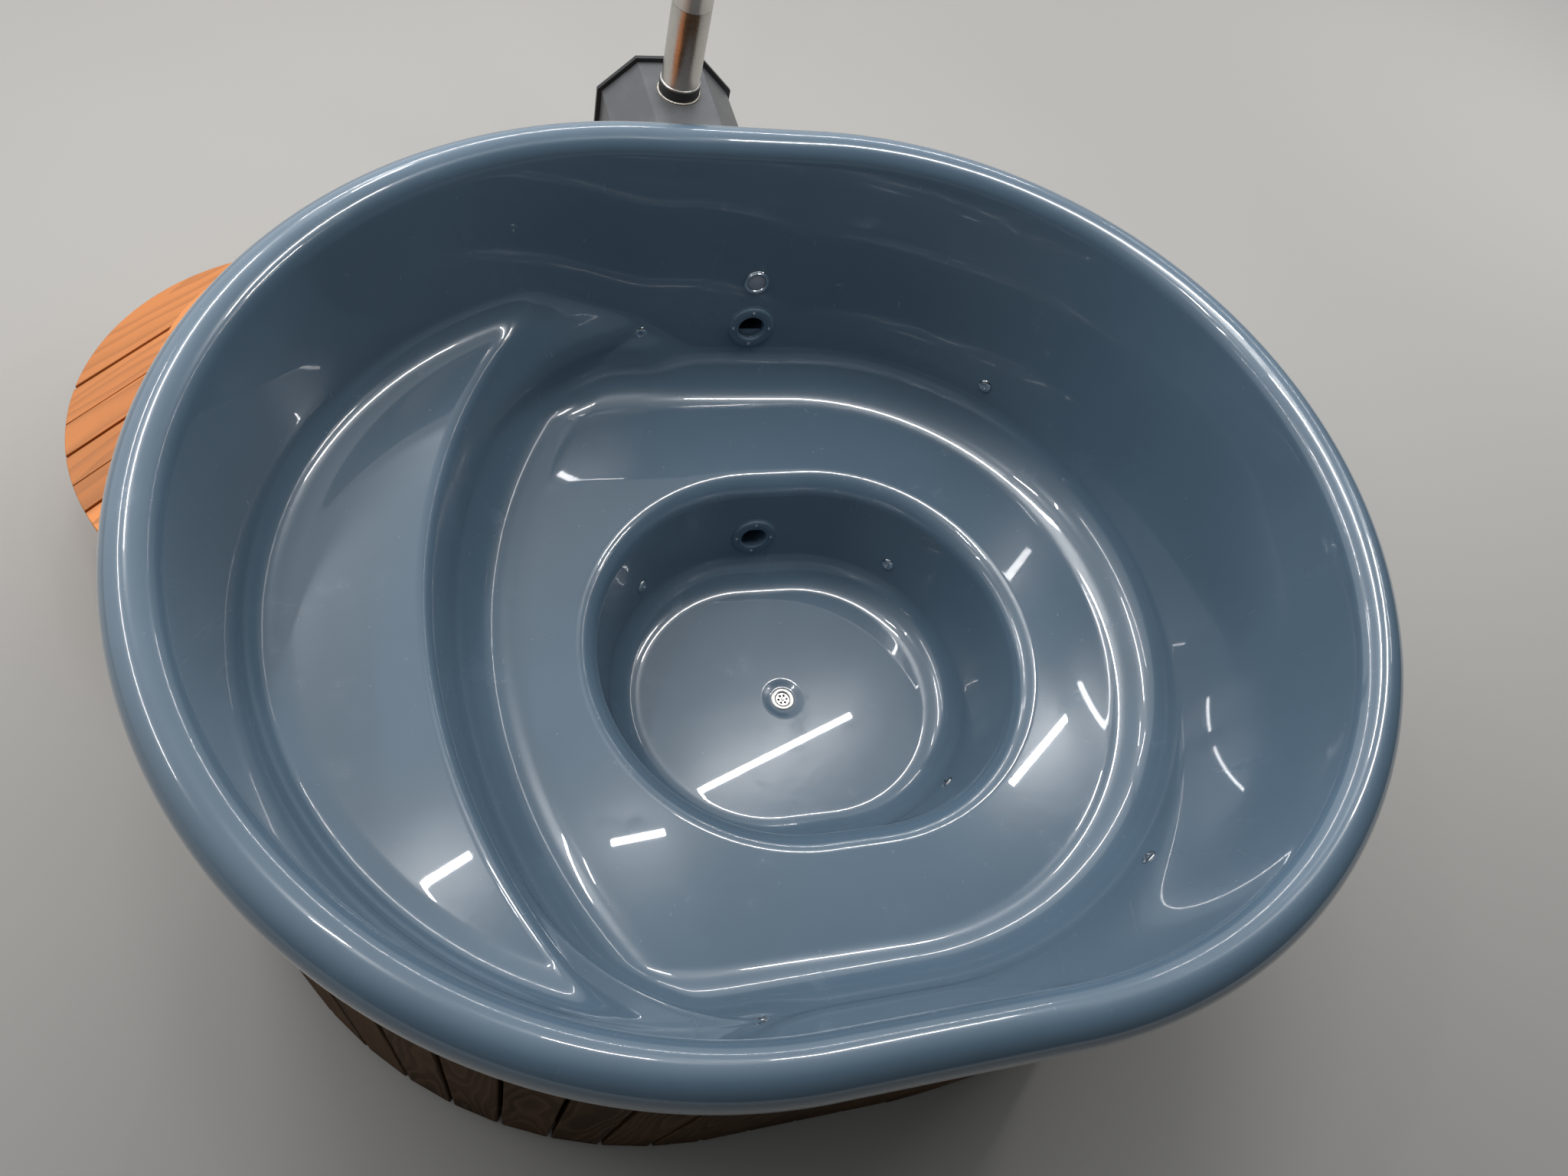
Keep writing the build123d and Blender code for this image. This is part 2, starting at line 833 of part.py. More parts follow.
strainer_hole = 3.4
strainer_hole_count = 6
strainer_hole_circle = 10.5
with BuildPart() as drain_strainer:
    with BuildSketch(drain_floor.offset(-strainer_depth)):
        Circle(strainer_radius)
        Circle(drain_screw_radius + fit_gap, mode=Mode.SUBTRACT)
        with PolarLocations(strainer_hole_circle, strainer_hole_count):
            Circle(strainer_hole, mode=Mode.SUBTRACT)
    extrude(amount=strainer_thickness)
drain_strainer.part.label = "drain_strainer"
export_step(drain_strainer.part, "parts/drain_strainer.step")

drain_screw_end = bar_width - 2 - drain_tube_length
drain_screw_seat = strainer_thickness - strainer_depth
drain_head_radius = 4.5
drain_head_top = 0.4
with BuildPart() as drain_screw:
    add(
        revolved(
            drain_floor,
            [
                (0, drain_screw_end),
                (drain_screw_radius, drain_screw_end),
                (drain_screw_radius, drain_screw_seat),
                (drain_head_radius, drain_screw_seat),
                (drain_head_radius - 1, drain_head_top),
                (0, drain_head_top),
            ],
        )
    )
drain_screw.part.label = "drain_screw"
export_step(drain_screw.part, "parts/drain_screw.step")

tail_radius = 27
fitting_wall = 5
tail_bottom = drain_pipe_z - drain_pipe_radius - fitting_wall
liner_underside = floor_z - liner_wall
with BuildPart() as drain_tail:
    with BuildSketch(Plane.XY.offset(tail_bottom)):
        with Locations((drain_x, 0)):
            Circle(tail_radius)
    extrude(amount=liner_underside - fit_gap - tail_bottom)
    with BuildSketch(Plane.XY.offset(drain_pipe_z)):
        with Locations((drain_x, 0)):
            Circle(drain_tube_radius + fit_gap)
    extrude(amount=liner_underside, mode=Mode.SUBTRACT)
    with BuildSketch(Plane.XZ):
        with Locations((drain_x, drain_pipe_z)):
            Circle(drain_pipe_radius + fitting_wall)
    extrude(amount=-tail_radius - pipe_socket)
    with BuildSketch(Plane.XZ):
        with Locations((drain_x, drain_pipe_z)):
            Circle(drain_pipe_bore)
    extrude(amount=-tail_radius - pipe_socket, mode=Mode.SUBTRACT)
    with BuildSketch(Plane.XZ.offset(-tail_radius)):
        with Locations((drain_x, drain_pipe_z)):
            Circle(drain_pipe_radius + fit_gap)
    extrude(amount=-pipe_socket, mode=Mode.SUBTRACT)
drain_tail.part.label = "drain_tail"
export_step(drain_tail.part, "parts/drain_tail.step")

with BuildPart() as drain_pipe:
    with BuildSketch(Plane.XZ.offset(-tail_radius)):
        with Locations((drain_x, drain_pipe_z)):
            Circle(drain_pipe_radius)
            Circle(drain_pipe_bore, mode=Mode.SUBTRACT)
    extrude(amount=tail_radius - drain_pipe_end)
drain_pipe.part.label = "drain_pipe"
export_step(drain_pipe.part, "parts/drain_pipe.step")

valve_start = drain_pipe_end - pipe_socket
valve_middle = Plane.XZ.offset(-valve_start - valve_length / 2).shift_origin(
    (drain_x, valve_start + valve_length / 2, drain_pipe_z)
)
ball_clearance = 0.08
outlet_length = 26
stem_radius = 5
stem_sink = 2  # how far the stem is let into the ball
boss_radius = 11
boss_height = 9
with BuildPart() as valve_body:
    with BuildSketch(valve_middle):
        Circle(valve_radius)
    extrude(amount=valve_length / 2, both=True)
    with BuildSketch(valve_middle.offset(-valve_length / 2)):
        Circle(drain_pipe_radius)
    extrude(amount=-outlet_length)
    with BuildSketch(valve_middle.offset(-valve_length / 2 - outlet_length)):
        Circle(drain_pipe_bore)
    extrude(amount=valve_length + outlet_length, mode=Mode.SUBTRACT)
    with BuildSketch(valve_middle.offset(valve_length / 2)):
        Circle(drain_pipe_radius + fit_gap)
    extrude(amount=-pipe_socket - fit_gap, mode=Mode.SUBTRACT)
    with BuildSketch(Plane.XY.offset(drain_pipe_z)):
        with Locations((drain_x, valve_middle.origin.Y)):
            Circle(boss_radius)
    extrude(amount=valve_radius + boss_height)
    with BuildSketch(Plane.XY.offset(drain_pipe_z)):
        with Locations((drain_x, valve_middle.origin.Y)):
            Circle(stem_radius + ball_clearance)
    extrude(amount=valve_radius + boss_height, mode=Mode.SUBTRACT)
    with Locations(valve_middle.origin):
        Sphere(ball_radius + ball_clearance, mode=Mode.SUBTRACT)
valve_body.part.label = "valve_body"
export_step(valve_body.part, "parts/valve_body.step")

stem_top = drain_pipe_z + valve_radius + boss_height + 4
stem_foot = drain_pipe_z + ball_radius - stem_sink
ball_bore = drain_pipe_bore - 1
with BuildPart() as valve_ball:
    with Locations(valve_middle.origin):
        Sphere(ball_radius)
    with BuildSketch(valve_middle.offset(-ball_radius)):
        Circle(ball_bore)
    extrude(amount=2 * ball_radius, mode=Mode.SUBTRACT)
    with BuildSketch(Plane.XY.offset(stem_foot)):
        with Locations((drain_x, valve_middle.origin.Y)):
            Circle(stem_radius)
    extrude(amount=stem_top - stem_foot)
valve_ball.part.label = "valve_ball"
export_step(valve_ball.part, "parts/valve_ball.step")

lever_width = 18
lever_thickness = 4
with BuildPart() as valve_lever:
    with BuildSketch(Plane.XY.offset(stem_top)):
        with Locations((drain_x, valve_middle.origin.Y + lever_length / 2 - lever_width / 2)):
            SlotOverall(lever_length, lever_width, rotation=90)
    extrude(amount=lever_thickness)
valve_lever.part.label = "valve_lever"
export_step(valve_lever.part, "parts/valve_lever.step")


def octagon(width, cut):
    """Corners of a square with its corners cut off."""
    half = width / 2
    quarter = [(half, cut - half), (half, half - cut), (half - cut, half), (cut - half, half)]
    return quarter + [(-x, -y) for x, y in quarter]


def octagon_tube(start, length, width, cut, wall):
    """An eight-sided tube along the heater, open at both ends."""
    with BuildPart() as tube:
        with BuildSketch(heater_section(start)):
            with Locations((0, heater_z)):
                Polygon(*octagon(width, cut))
                Polygon(*octagon(width - 2 * wall, cut - wall * (2 - sqrt(2))), mode=Mode.SUBTRACT)
        extrude(amount=-length)
    return tube.part


def octagon_plate(start, thickness, width, cut):
    """An eight-sided plate across the heater."""
    with BuildPart() as plate:
        with BuildSketch(heater_section(start)):
            with Locations((0, heater_z)):
                Polygon(*octagon(width, cut))
        extrude(amount=-thickness)
    return plate.part


# Heater: eight-sided water jacket, end plates, firebox with its grate, flue and spigots
end_plate_thickness = 5
flue_level = heater_level(0, 0, flue_place)
with BuildPart() as heater_shell:
    jacket_length = heater_length - end_plate_thickness
    add(octagon_tube(end_plate_thickness, jacket_length, heater_width, heater_cut, shell_wall))
    with BuildSketch(flue_level.offset(heater_z)):
        Circle(collar_radius + fit_gap)
    extrude(amount=heater_width, mode=Mode.SUBTRACT)
heater_shell.part.label = "heater_shell"
export_step(heater_shell.part, "parts/heater_shell.step")

spigot_heights = (lower_spigot_z, upper_spigot_z)
with BuildPart() as heater_tub_plate:
    add(octagon_plate(0, end_plate_thickness, heater_width, heater_cut))
    with BuildSketch(heater_section(0)):
        with Locations(*[(0, height) for height in spigot_heights]):
            Circle(port_tail_radius + fit_gap)
    extrude(amount=-end_plate_thickness, mode=Mode.SUBTRACT)
heater_tub_plate.part.label = "heater_tub_plate"
export_step(heater_tub_plate.part, "parts/heater_tub_plate.step")

with BuildPart() as heater_spigots:
    with BuildSketch(heater_section(-spigot_length)):
        with Locations(*[(0, height) for height in spigot_heights]):
            Circle(port_tail_radius)
            Circle(port_bore_radius, mode=Mode.SUBTRACT)
    extrude(amount=-spigot_length - 2 * end_plate_thickness)
heater_spigots.part.label = "heater_spigots"
export_step(heater_spigots.part, "parts/heater_spigots.step")

door_corner = 18
with BuildPart() as heater_front_plate:
    add(
        octagon_plate(
            heater_length,
            front_plate_thickness,
            heater_width + 2 * plate_overhang,
            heater_cut + plate_overhang * (2 - sqrt(2)),
        )
    )
    with BuildSketch(heater_section(heater_length)):
        with Locations((0, heater_z)):
            RectangleRounded(door_opening_width, door_opening_height, door_corner)
    extrude(amount=-front_plate_thickness, mode=Mode.SUBTRACT)
heater_front_plate.part.label = "heater_front_plate"
export_step(heater_front_plate.part, "parts/heater_front_plate.step")

firebox_top = heater_z + firebox_width / 2
with BuildPart() as firebox:
    firebox_length = heater_length - firebox_start
    add(octagon_tube(firebox_start, firebox_length, firebox_width, firebox_cut, shell_wall))
    add(octagon_plate(firebox_start, shell_wall, firebox_width, firebox_cut))
    with BuildSketch(flue_level.offset(heater_z)):
        Circle(collar_radius - collar_wall)
    extrude(amount=firebox_width, mode=Mode.SUBTRACT)
firebox.part.label = "firebox"
export_step(firebox.part, "parts/firebox.step")

grate_drop = 30  # above the firebox's floor
grate_thickness = 12
grate_length = 420
grate_slot = 14
grate_slot_count = 14
grate_margin = 20
grate_back_gap = 60
firebox_floor = heater_z - firebox_width / 2 + shell_wall
firebox_flat = firebox_width / 2 - firebox_cut - shell_wall * (sqrt(2) - 1)
grate_width = 2 * (firebox_flat + grate_drop) - 2 * fit_gap
with BuildPart() as firebox_grate:
    grate_middle = firebox_start + grate_back_gap + grate_length / 2
    with BuildSketch(heater_level(firebox_floor + grate_drop, 0, grate_middle)):
        Rectangle(grate_width, grate_length)
        with GridLocations(0, 2 * grate_slot, 1, grate_slot_count):
            SlotOverall(grate_width - 2 * grate_margin, grate_slot, mode=Mode.SUBTRACT)
    extrude(amount=grate_thickness)
firebox_grate.part.label = "firebox_grate"
export_step(firebox_grate.part, "parts/firebox_grate.step")

with BuildPart() as flue_collar:
    with BuildSketch(flue_level.offset(firebox_top)):
        Circle(collar_radius)
        Circle(collar_radius - collar_wall, mode=Mode.SUBTRACT)
    extrude(amount=heater_top + collar_height - firebox_top)
flue_collar.part.label = "flue_collar"
export_step(flue_collar.part, "parts/flue_collar.step")

weld_height = 6
with BuildPart() as flue_weld:
    add(
        revolved(
            flue_level.offset(heater_top),
            [
                (collar_radius + fit_gap, 0),
                (weld_radius, 0),
                (weld_radius - 1, weld_height / 2),
                (collar_radius + weld_height / 2, weld_height - 1),
                (collar_radius + fit_gap, weld_height),
            ],
        )
    )
flue_weld.part.label = "flue_weld"
export_step(flue_weld.part, "parts/flue_weld.step")

collar_top = heater_top + collar_height
bead_height = 6
swage_length = 3  # where the lower flue narrows into the upper one
tongue_radius = flue_bore_radius - fit_gap
with BuildPart() as lower_flue:
    add(
        revolved(
            flue_level,
            [
                (flue_bore_radius, collar_top - collar_height),
                (flue_radius, collar_top - collar_height),
                (flue_radius, collar_top),
                (collar_radius, collar_top),
                (collar_radius, collar_top + bead_height / 2),
                (flue_radius, collar_top + bead_height),
                (flue_radius, lower_flue_top),
                (tongue_radius, lower_flue_top),
                (tongue_radius, lower_flue_top + flue_lap),
                (tongue_radius - flue_wall, lower_flue_top + flue_lap),
                (tongue_radius - flue_wall, lower_flue_top - swage_length),
                (flue_bore_radius, lower_flue_top - swage_length),
            ],
        )
    )
lower_flue.part.label = "lower_flue"
export_step(lower_flue.part, "parts/lower_flue.step")

upper_flue_top = lower_flue_top + upper_flue_length
with BuildPart() as upper_flue:
    with BuildSketch(flue_level.offset(lower_flue_top)):
        Circle(flue_radius)
        Circle(flue_bore_radius, mode=Mode.SUBTRACT)
    extrude(amount=upper_flue_length)
upper_flue.part.label = "upper_flue"
export_step(upper_flue.part, "parts/upper_flue.step")

cap_radius = 105
cap_rise = 45
cap_sheet = 2
cap_gap = 60
cap_hem = 6
cap_strap = 22
cap_strap_count = 3
cap_collar_depth = 30
cap_bottom = upper_flue_top + cap_gap
cap_collar_radius = flue_radius + fit_gap + cap_sheet
strap_middle = cap_collar_radius + cap_sheet / 2 - 0.5
strap_top = cap_bottom + cap_rise * (1 - strap_middle / cap_radius) - cap_sheet / 2
with BuildPart() as rain_cap:
    add(
        revolved(
            flue_level.offset(cap_bottom),
            [
                (0, cap_rise),
                (cap_radius, 0),
                (cap_radius, -cap_hem),
                (cap_radius - cap_sheet, -cap_hem),
                (cap_radius - cap_sheet, -cap_sheet),
                (0, cap_rise - cap_sheet),
            ],
        )
    )
    with BuildSketch(flue_level.offset(upper_flue_top - cap_collar_depth)):
        Circle(cap_collar_radius)
        Circle(flue_radius + fit_gap, mode=Mode.SUBTRACT)
    extrude(amount=cap_collar_depth)
    with BuildSketch(flue_level.offset(upper_flue_top - cap_collar_depth)):
        with PolarLocations(strap_middle, cap_strap_count):
            Rectangle(cap_sheet, cap_strap)
    extrude(amount=strap_top - upper_flue_top + cap_collar_depth)
rain_cap.part.label = "rain_cap"
export_step(rain_cap.part, "parts/rain_cap.step")

# Heater legs: two cradle plates with an arch between their feet
leg_plate = 6
leg_spread = 165
cradle_height = 260
arch_half_width = 110
arch_height = 110
arch_lean = 30
cradle_margin = 8
cradle_half_width = heater_width / 2 + cradle_margin
leg_places = (110, 510)


def heater_leg(distance):
    """A cradle plate that holds the heater's lower sides, with its feet spread on the floor."""
    with BuildPart() as leg:
        with BuildSketch(heater_section(distance)):
            with BuildLine():
                Polyline(
                    (-leg_spread, 0),
                    (-arch_half_width, 0),
                    (-arch_half_width + arch_lean, arch_height),
                    (arch_half_width - arch_lean, arch_height),
                    (arch_half_width, 0),
                    (leg_spread, 0),
                    (cradle_half_width, cradle_height),
                    (-cradle_half_width, cradle_height),
                    close=True,
                )
            make_face()
            with Locations((0, heater_z)):
                Polygon(*octagon(heater_width, heater_cut), mode=Mode.SUBTRACT)
        extrude(amount=-leg_plate)
    return leg.part


with BuildPart() as heater_leg_tub_end:
    add(heater_leg(leg_places[0]))
heater_leg_tub_end.part.label = "heater_leg_tub_end"
export_step(heater_leg_tub_end.part, "parts/heater_leg_tub_end.step")

with BuildPart() as heater_leg_door_end:
    add(heater_leg(leg_places[1]))
heater_leg_door_end.part.label = "heater_leg_door_end"
export_step(heater_leg_door_end.part, "parts/heater_leg_door_end.step")

# Fire door: seal, panel with hinge knuckles, latch, air slide, and the fixed pins and keeper
plate_face = heater_length + front_plate_thickness
door_back = plate_face + seal_thickness
door_front = door_back + door_thickness
hinge_reach = 16  # from the door's edge to the pins
hinge_across = -door_width / 2 - hinge_reach
hinge_along = door_back + door_thickness / 2
knuckle_radius = 9
pin_radius = 4
knuckle_length = 30
bracket_length = 20
hinge_spread = 80
hinge_strap = 6
pin_clearance = 0.06
seal_inset = 4
seal_across = door_width - 2 * seal_inset
seal_up = door_height - 2 * seal_inset
with BuildPart() as door_seal:
    with BuildSketch(heater_section(plate_face)):
        with Locations((0, heater_z)):
            RectangleRounded(seal_across, seal_up, door_corner)
            RectangleRounded(
                seal_across - 2 * seal_width, seal_up - 2 * seal_width, door_corner, mode=Mode.SUBTRACT
            )
    extrude(amount=-seal_thickness)
door_seal.part.label = "door_seal"
export_step(door_seal.part, "parts/door_seal.step")

vent_radius = 13
vent_pitch = 52
vent_drop = 75  # below the door's middle
latch_across = door_width / 2 - 26
strap_reach = hinge_reach + knuckle_radius
spindle_radius = 6
with BuildPart() as fire_door:
    with BuildSketch(heater_section(door_back)):
        with Locations((0, heater_z)):
            RectangleRounded(door_width, door_height, door_corner)
        with Locations((latch_across, heater_z)):
            Circle(spindle_radius + pin_clearance, mode=Mode.SUBTRACT)
        with Locations(*[(vent_pitch * step, heater_z - vent_drop) for step in (-1, 0, 1)]):
            Circle(vent_radius, mode=Mode.SUBTRACT)
    extrude(amount=-door_thickness)
    for side in (1, -1):
        knuckle_foot = heater_z + side * hinge_spread - knuckle_length / 2
        with BuildSketch(heater_level(knuckle_foot, hinge_across, hinge_along)):
            Circle(knuckle_radius)
            with Locations((hinge_reach + hinge_strap - 2, 0)):
                Rectangle(strap_reach, hinge_strap)
            Circle(pin_radius + pin_clearance, mode=Mode.SUBTRACT)
        extrude(amount=knuckle_length)
fire_door.part.label = "fire_door"
export_step(fire_door.part, "parts/fire_door.step")

# Air slide on the door, held at its edges by two lipped rails
slide_half_length = 75
slide_half_height = 22
slide_thickness = 3
slide_clearance = 0.3
rail_size = 6
rail_lip = 4
rail_cap = 2
guide_length = 2 * slide_half_length + 20
with BuildPart() as door_rails:
    for side in (1, -1):
        edge = heater_z - vent_drop + side * (slide_half_height + slide_clearance + rail_size / 2)
        with BuildSketch(heater_section(door_front)):
            with Locations((0, edge)):
                Rectangle(guide_length, rail_size)
        extrude(amount=-slide_thickness - 2 * slide_clearance)
        with BuildSketch(heater_section(door_front + slide_thickness + 2 * slide_clearance)):
            with Locations((0, edge - side * rail_lip / 2)):
                Rectangle(guide_length, rail_size + rail_lip)
        extrude(amount=-rail_cap)
door_rails.part.label = "door_rails"
export_step(door_rails.part, "parts/door_rails.step")

knob_radius = 7
knob_length = 16
with BuildPart() as air_slide:
    with BuildSketch(heater_section(door_front + slide_clearance)):
        with Locations((0, heater_z - vent_drop)):
            Rectangle(2 * slide_half_length, 2 * slide_half_height)
        with Locations(*[(vent_pitch * step, heater_z - vent_drop) for step in (-1, 0, 1)]):
            Circle(vent_radius, mode=Mode.SUBTRACT)
    extrude(amount=-slide_thickness)
    with BuildSketch(heater_section(door_front + slide_clearance + slide_thickness)):
        with Locations((-vent_pitch / 2, heater_z - vent_drop)):
            Circle(knob_radius)
    extrude(amount=-knob_length)
air_slide.part.label = "air_slide"
export_step(air_slide.part, "parts/air_slide.step")

# Latch: a spindle through the door, a tongue that drops into the catch, and a grip with a round knob
hub_radius = 14
arm_gap = 8  # clears the rails when the grip swings over them
arm_thickness = 6
arm_width = 14
tongue_length = 75
grip_length = 90
grip_knob_radius = 13
grip_knob_length = 18
grip_knob_rounding = 4
spindle_end = 6  # how far the spindle shows inside the door
arm_start = door_front + arm_gap
with BuildPart() as door_latch:
    with BuildSketch(heater_section(door_back - spindle_end)):
        with Locations((latch_across, heater_z)):
            Circle(spindle_radius)
    extrude(amount=door_back - spindle_end - arm_start - arm_thickness)
    with BuildSketch(heater_section(arm_start)):
        with Locations((latch_across, heater_z)):
            Circle(hub_radius)
        with Locations((latch_across, heater_z + tongue_length / 2)):
            SlotOverall(tongue_length + arm_width / 2, arm_width, rotation=90)
        with Locations((latch_across, heater_z - grip_length / 2)):
            SlotOverall(grip_length + arm_width, arm_width, rotation=90)
    extrude(amount=-arm_thickness)
    with BuildSketch(heater_section(arm_start)):
        with Locations((latch_across, heater_z - grip_length)):
            Circle(grip_knob_radius)
    extrude(amount=-grip_knob_length)
    fillet(door_latch.edges().filter_by(GeomType.CIRCLE).group_by(Axis.Y)[-1], grip_knob_rounding)
door_latch.part.label = "door_latch"
export_step(door_latch.part, "parts/door_latch.step")

catch_across = door_width / 2 + 20
catch_width = 14
catch_depth = 12
catch_gap = 2  # round the latch's tongue when it lies in the catch
catch_floor = heater_z - arm_width / 2 - catch_gap
catch_lip = 4
catch_lip_height = catch_depth + arm_width + catch_gap
lip_start = arm_start + arm_thickness + catch_gap
with BuildPart() as door_catch:
    with BuildSketch(heater_section(plate_face)):
        with Locations((catch_across, catch_floor)):
            Rectangle(catch_width, catch_depth, align=(Align.CENTER, Align.MAX))
    extrude(amount=plate_face - lip_start - catch_lip)
    with BuildSketch(heater_section(lip_start)):
        with Locations((catch_across, catch_floor - catch_depth)):
            Rectangle(catch_width, catch_lip_height, align=(Align.CENTER, Align.MIN))
    extrude(amount=-catch_lip)
door_catch.part.label = "door_catch"
export_step(door_catch.part, "parts/door_catch.step")

hinge_gap = 0.3
lug_reach = hinge_along - plate_face
lug_pitch = knuckle_length + bracket_length + 2 * hinge_gap
with BuildPart() as hinge_lugs:
    for side in (1, -1):
        for end in (1, -1):
            foot = heater_z + side * hinge_spread + (end * lug_pitch - bracket_length) / 2
            with BuildSketch(heater_level(foot, hinge_across, hinge_along)):
                Circle(knuckle_radius)
                with Locations((0, -lug_reach / 2)):
                    Rectangle(2 * knuckle_radius, lug_reach)
                Circle(pin_radius + pin_clearance, mode=Mode.SUBTRACT)
            extrude(amount=bracket_length)
hinge_lugs.part.label = "hinge_lugs"
export_step(hinge_lugs.part, "parts/hinge_lugs.step")

pin_length = knuckle_length + 2 * (bracket_length + hinge_gap)
pin_head_radius = 6.5
pin_head_height = 3
with BuildPart() as hinge_pins:
    for side in (1, -1):
        foot = heater_z + side * hinge_spread - pin_length / 2
        with BuildSketch(heater_level(foot, hinge_across, hinge_along)):
            Circle(pin_radius)
        extrude(amount=pin_length)
        with BuildSketch(heater_level(foot + pin_length, hinge_across, hinge_along)):
            Circle(pin_head_radius)
        extrude(amount=pin_head_height)
hinge_pins.part.label = "hinge_pins"
export_step(hinge_pins.part, "parts/hinge_pins.step")


def hose(route):
    """A water hose along a route of straight runs and tangent arcs."""
    with BuildPart() as tube:
        with BuildLine() as middle:
            FilletPolyline(*route, radius=hose_bend)
        with BuildSketch(Plane(origin=middle.line @ 0, z_dir=middle.line % 0)):
            Circle(hose_radius)
            Circle(hose_bore_radius, mode=Mode.SUBTRACT)
        sweep()
    return tube.part


# Hoses between the ports and the heater, with a band clamp on each end
with BuildPart() as upper_hose:
    add(hose(hose_routes[0]))
upper_hose.part.label = "upper_hose"
export_step(upper_hose.part, "parts/upper_hose.step")

with BuildPart() as lower_hose:
    add(hose(hose_routes[1]))
lower_hose.part.label = "lower_hose"
export_step(lower_hose.part, "parts/lower_hose.step")

clamp_band = 1.5
clamp_width = 12
clamp_screw_radius = 6
clamp_screw_length = 28
clamp_screw_sink = 1
band_bore = hose_radius + fit_gap
screw_middle = band_bore + clamp_band + clamp_screw_radius - clamp_screw_sink
clamp_places = [port.offset(hose_grip / 2 - port_tail_length) for port in (upper_port, lower_port)]
for height in (upper_spigot_z, lower_spigot_z):
    section = heater_section(hose_grip / 2 - spigot_length)
    origin = section.origin + Vector(0, 0, height)
    clamp_places.append(Plane(origin, x_dir=section.x_dir, z_dir=section.z_dir))
with BuildPart() as hose_clamps:
    for place in clamp_places:
        with BuildSketch(place.offset(-clamp_width / 2)):
            Circle(band_bore + clamp_band)
            Circle(band_bore, mode=Mode.SUBTRACT)
        extrude(amount=clamp_width)
        with BuildSketch(Plane(place.origin, x_dir=place.y_dir, z_dir=place.x_dir)):
            with Locations((screw_middle, 0)):
                Circle(clamp_screw_radius)
        extrude(amount=clamp_screw_length / 2, both=True)
hose_clamps.part.label = "hose_clamps"
export_step(hose_clamps.part, "parts/hose_clamps.step")


def step_level(height):
    """A level plane over the step, with local X along the planks and local Y away from the tub."""
    turn = radians(step_turn)
    return Plane(origin=(-half_straight, 0, height), x_dir=(cos(turn), sin(turn), 0), z_dir=(0, 0, 1))


def step_sheet(height, thickness, radius, centre, inset, gaps=()):
    """A half-round sheet of the step, cut into planks where gaps are given."""
    size = radius - inset
    with BuildPart() as sheet:
        with BuildSketch(step_level(height)):
            with Locations((0, centre)):
                Circle(size)
            if centre > step_back:
                with Locations((0, step_back)):
                    Rectangle(2 * size, centre - step_back, align=(Align.CENTER, Align.MIN))
            with Locations((0, step_back + inset)):
                Rectangle(4 * radius, 4 * radius, align=(Align.CENTER, Align.MAX), mode=Mode.SUBTRACT)
            for gap in gaps:
                with Locations((0, gap)):
                    Rectangle(4 * radius, plank_gap, mode=Mode.SUBTRACT)
        extrude(amount=thickness)
    return sheet.part


def plank_gaps(front):
    """Places of the gaps between planks, behind a tread's front edge."""
    gaps = []
    place = front - front_plank_width
    while place > step_back + plank_gap:
        gaps.append(place)
        place -= plank_pitch
    return gaps


def step_slats(bottom, top, radius, centre):
    """Upright slats round a tier's curved front and down its straight sides."""
    face = radius - tread_overhang - slat_thickness / 2
    start = asin(max(step_back - centre, 0) / face)
    sides = max(centre - step_back, 0)
    run = face * (pi - 2 * start) + 2 * sides
    count = int(run / (slat_width + slat_gap))
    pitch = run / count
    with BuildPart() as slats:
        with BuildSketch(step_level(bottom)):
            for number in range(count):
                along = (number + 0.5) * pitch - sides
                if along < 0:
                    across, out, turn = face, centre + along, 0
                elif along > run - 2 * sides:
                    across, out, turn = -face, centre - (along - run + 2 * sides), pi
                else:
                    turn = start + along / face
                    across, out = face * cos(turn), centre + face * sin(turn)
                with Locations(Location((across, out, 0), (0, 0, turn * 180 / pi))):
                    Rectangle(slat_thickness, pitch - slat_gap)
        extrude(amount=top - bottom)
    return slats.part


# Step: planked treads over half-round formers, with upright slats round the curved fronts
lower_under = lower_step_height - plank_thickness
upper_under = upper_step_height - plank_thickness
former_inset = tread_overhang + slat_thickness + fit_gap
with BuildPart() as lower_tread:
    add(
        step_sheet(
            lower_under,
            plank_thickness,
            lower_step_radius,
            lower_step_centre,
            0,
            plank_gaps(lower_step_centre + lower_step_radius),
        )
    )
lower_tread.part.label = "lower_tread"
export_step(lower_tread.part, "parts/lower_tread.step")

with BuildPart() as upper_tread:
    add(
        step_sheet(
            upper_under,
            plank_thickness,
            upper_step_radius,
            upper_step_centre,
            0,
            plank_gaps(upper_step_centre + upper_step_radius),
        )
    )
upper_tread.part.label = "upper_tread"
export_step(upper_tread.part, "parts/upper_tread.step")

with BuildPart() as lower_slats:
    add(step_slats(0, lower_under, lower_step_radius, lower_step_centre))
lower_slats.part.label = "lower_slats"
export_step(lower_slats.part, "parts/lower_slats.step")

with BuildPart() as upper_slats:
    add(step_slats(lower_step_height, upper_under, upper_step_radius, upper_step_centre))
upper_slats.part.label = "upper_slats"
export_step(upper_slats.part, "parts/upper_slats.step")

former_lift = 25
with BuildPart() as step_formers:
    for bottom in (former_lift, lower_under - former_thickness):
        add(step_sheet(bottom, former_thickness, lower_step_radius, lower_step_centre, former_inset))
    for bottom in (lower_step_height, upper_under - former_thickness):
        add(step_sheet(bottom, former_thickness, upper_step_radius, upper_step_centre, former_inset))
step_formers.part.label = "step_formers"
export_step(step_formers.part, "parts/step_formers.step")
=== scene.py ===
"""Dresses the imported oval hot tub: its moulded liner, boards, heater, step and fittings, on a pale floor."""
import json
import math
import random

import bpy
import numpy as np
from bpy.props import FloatProperty, FloatVectorProperty, IntProperty, PointerProperty
from mathutils import Matrix, Vector


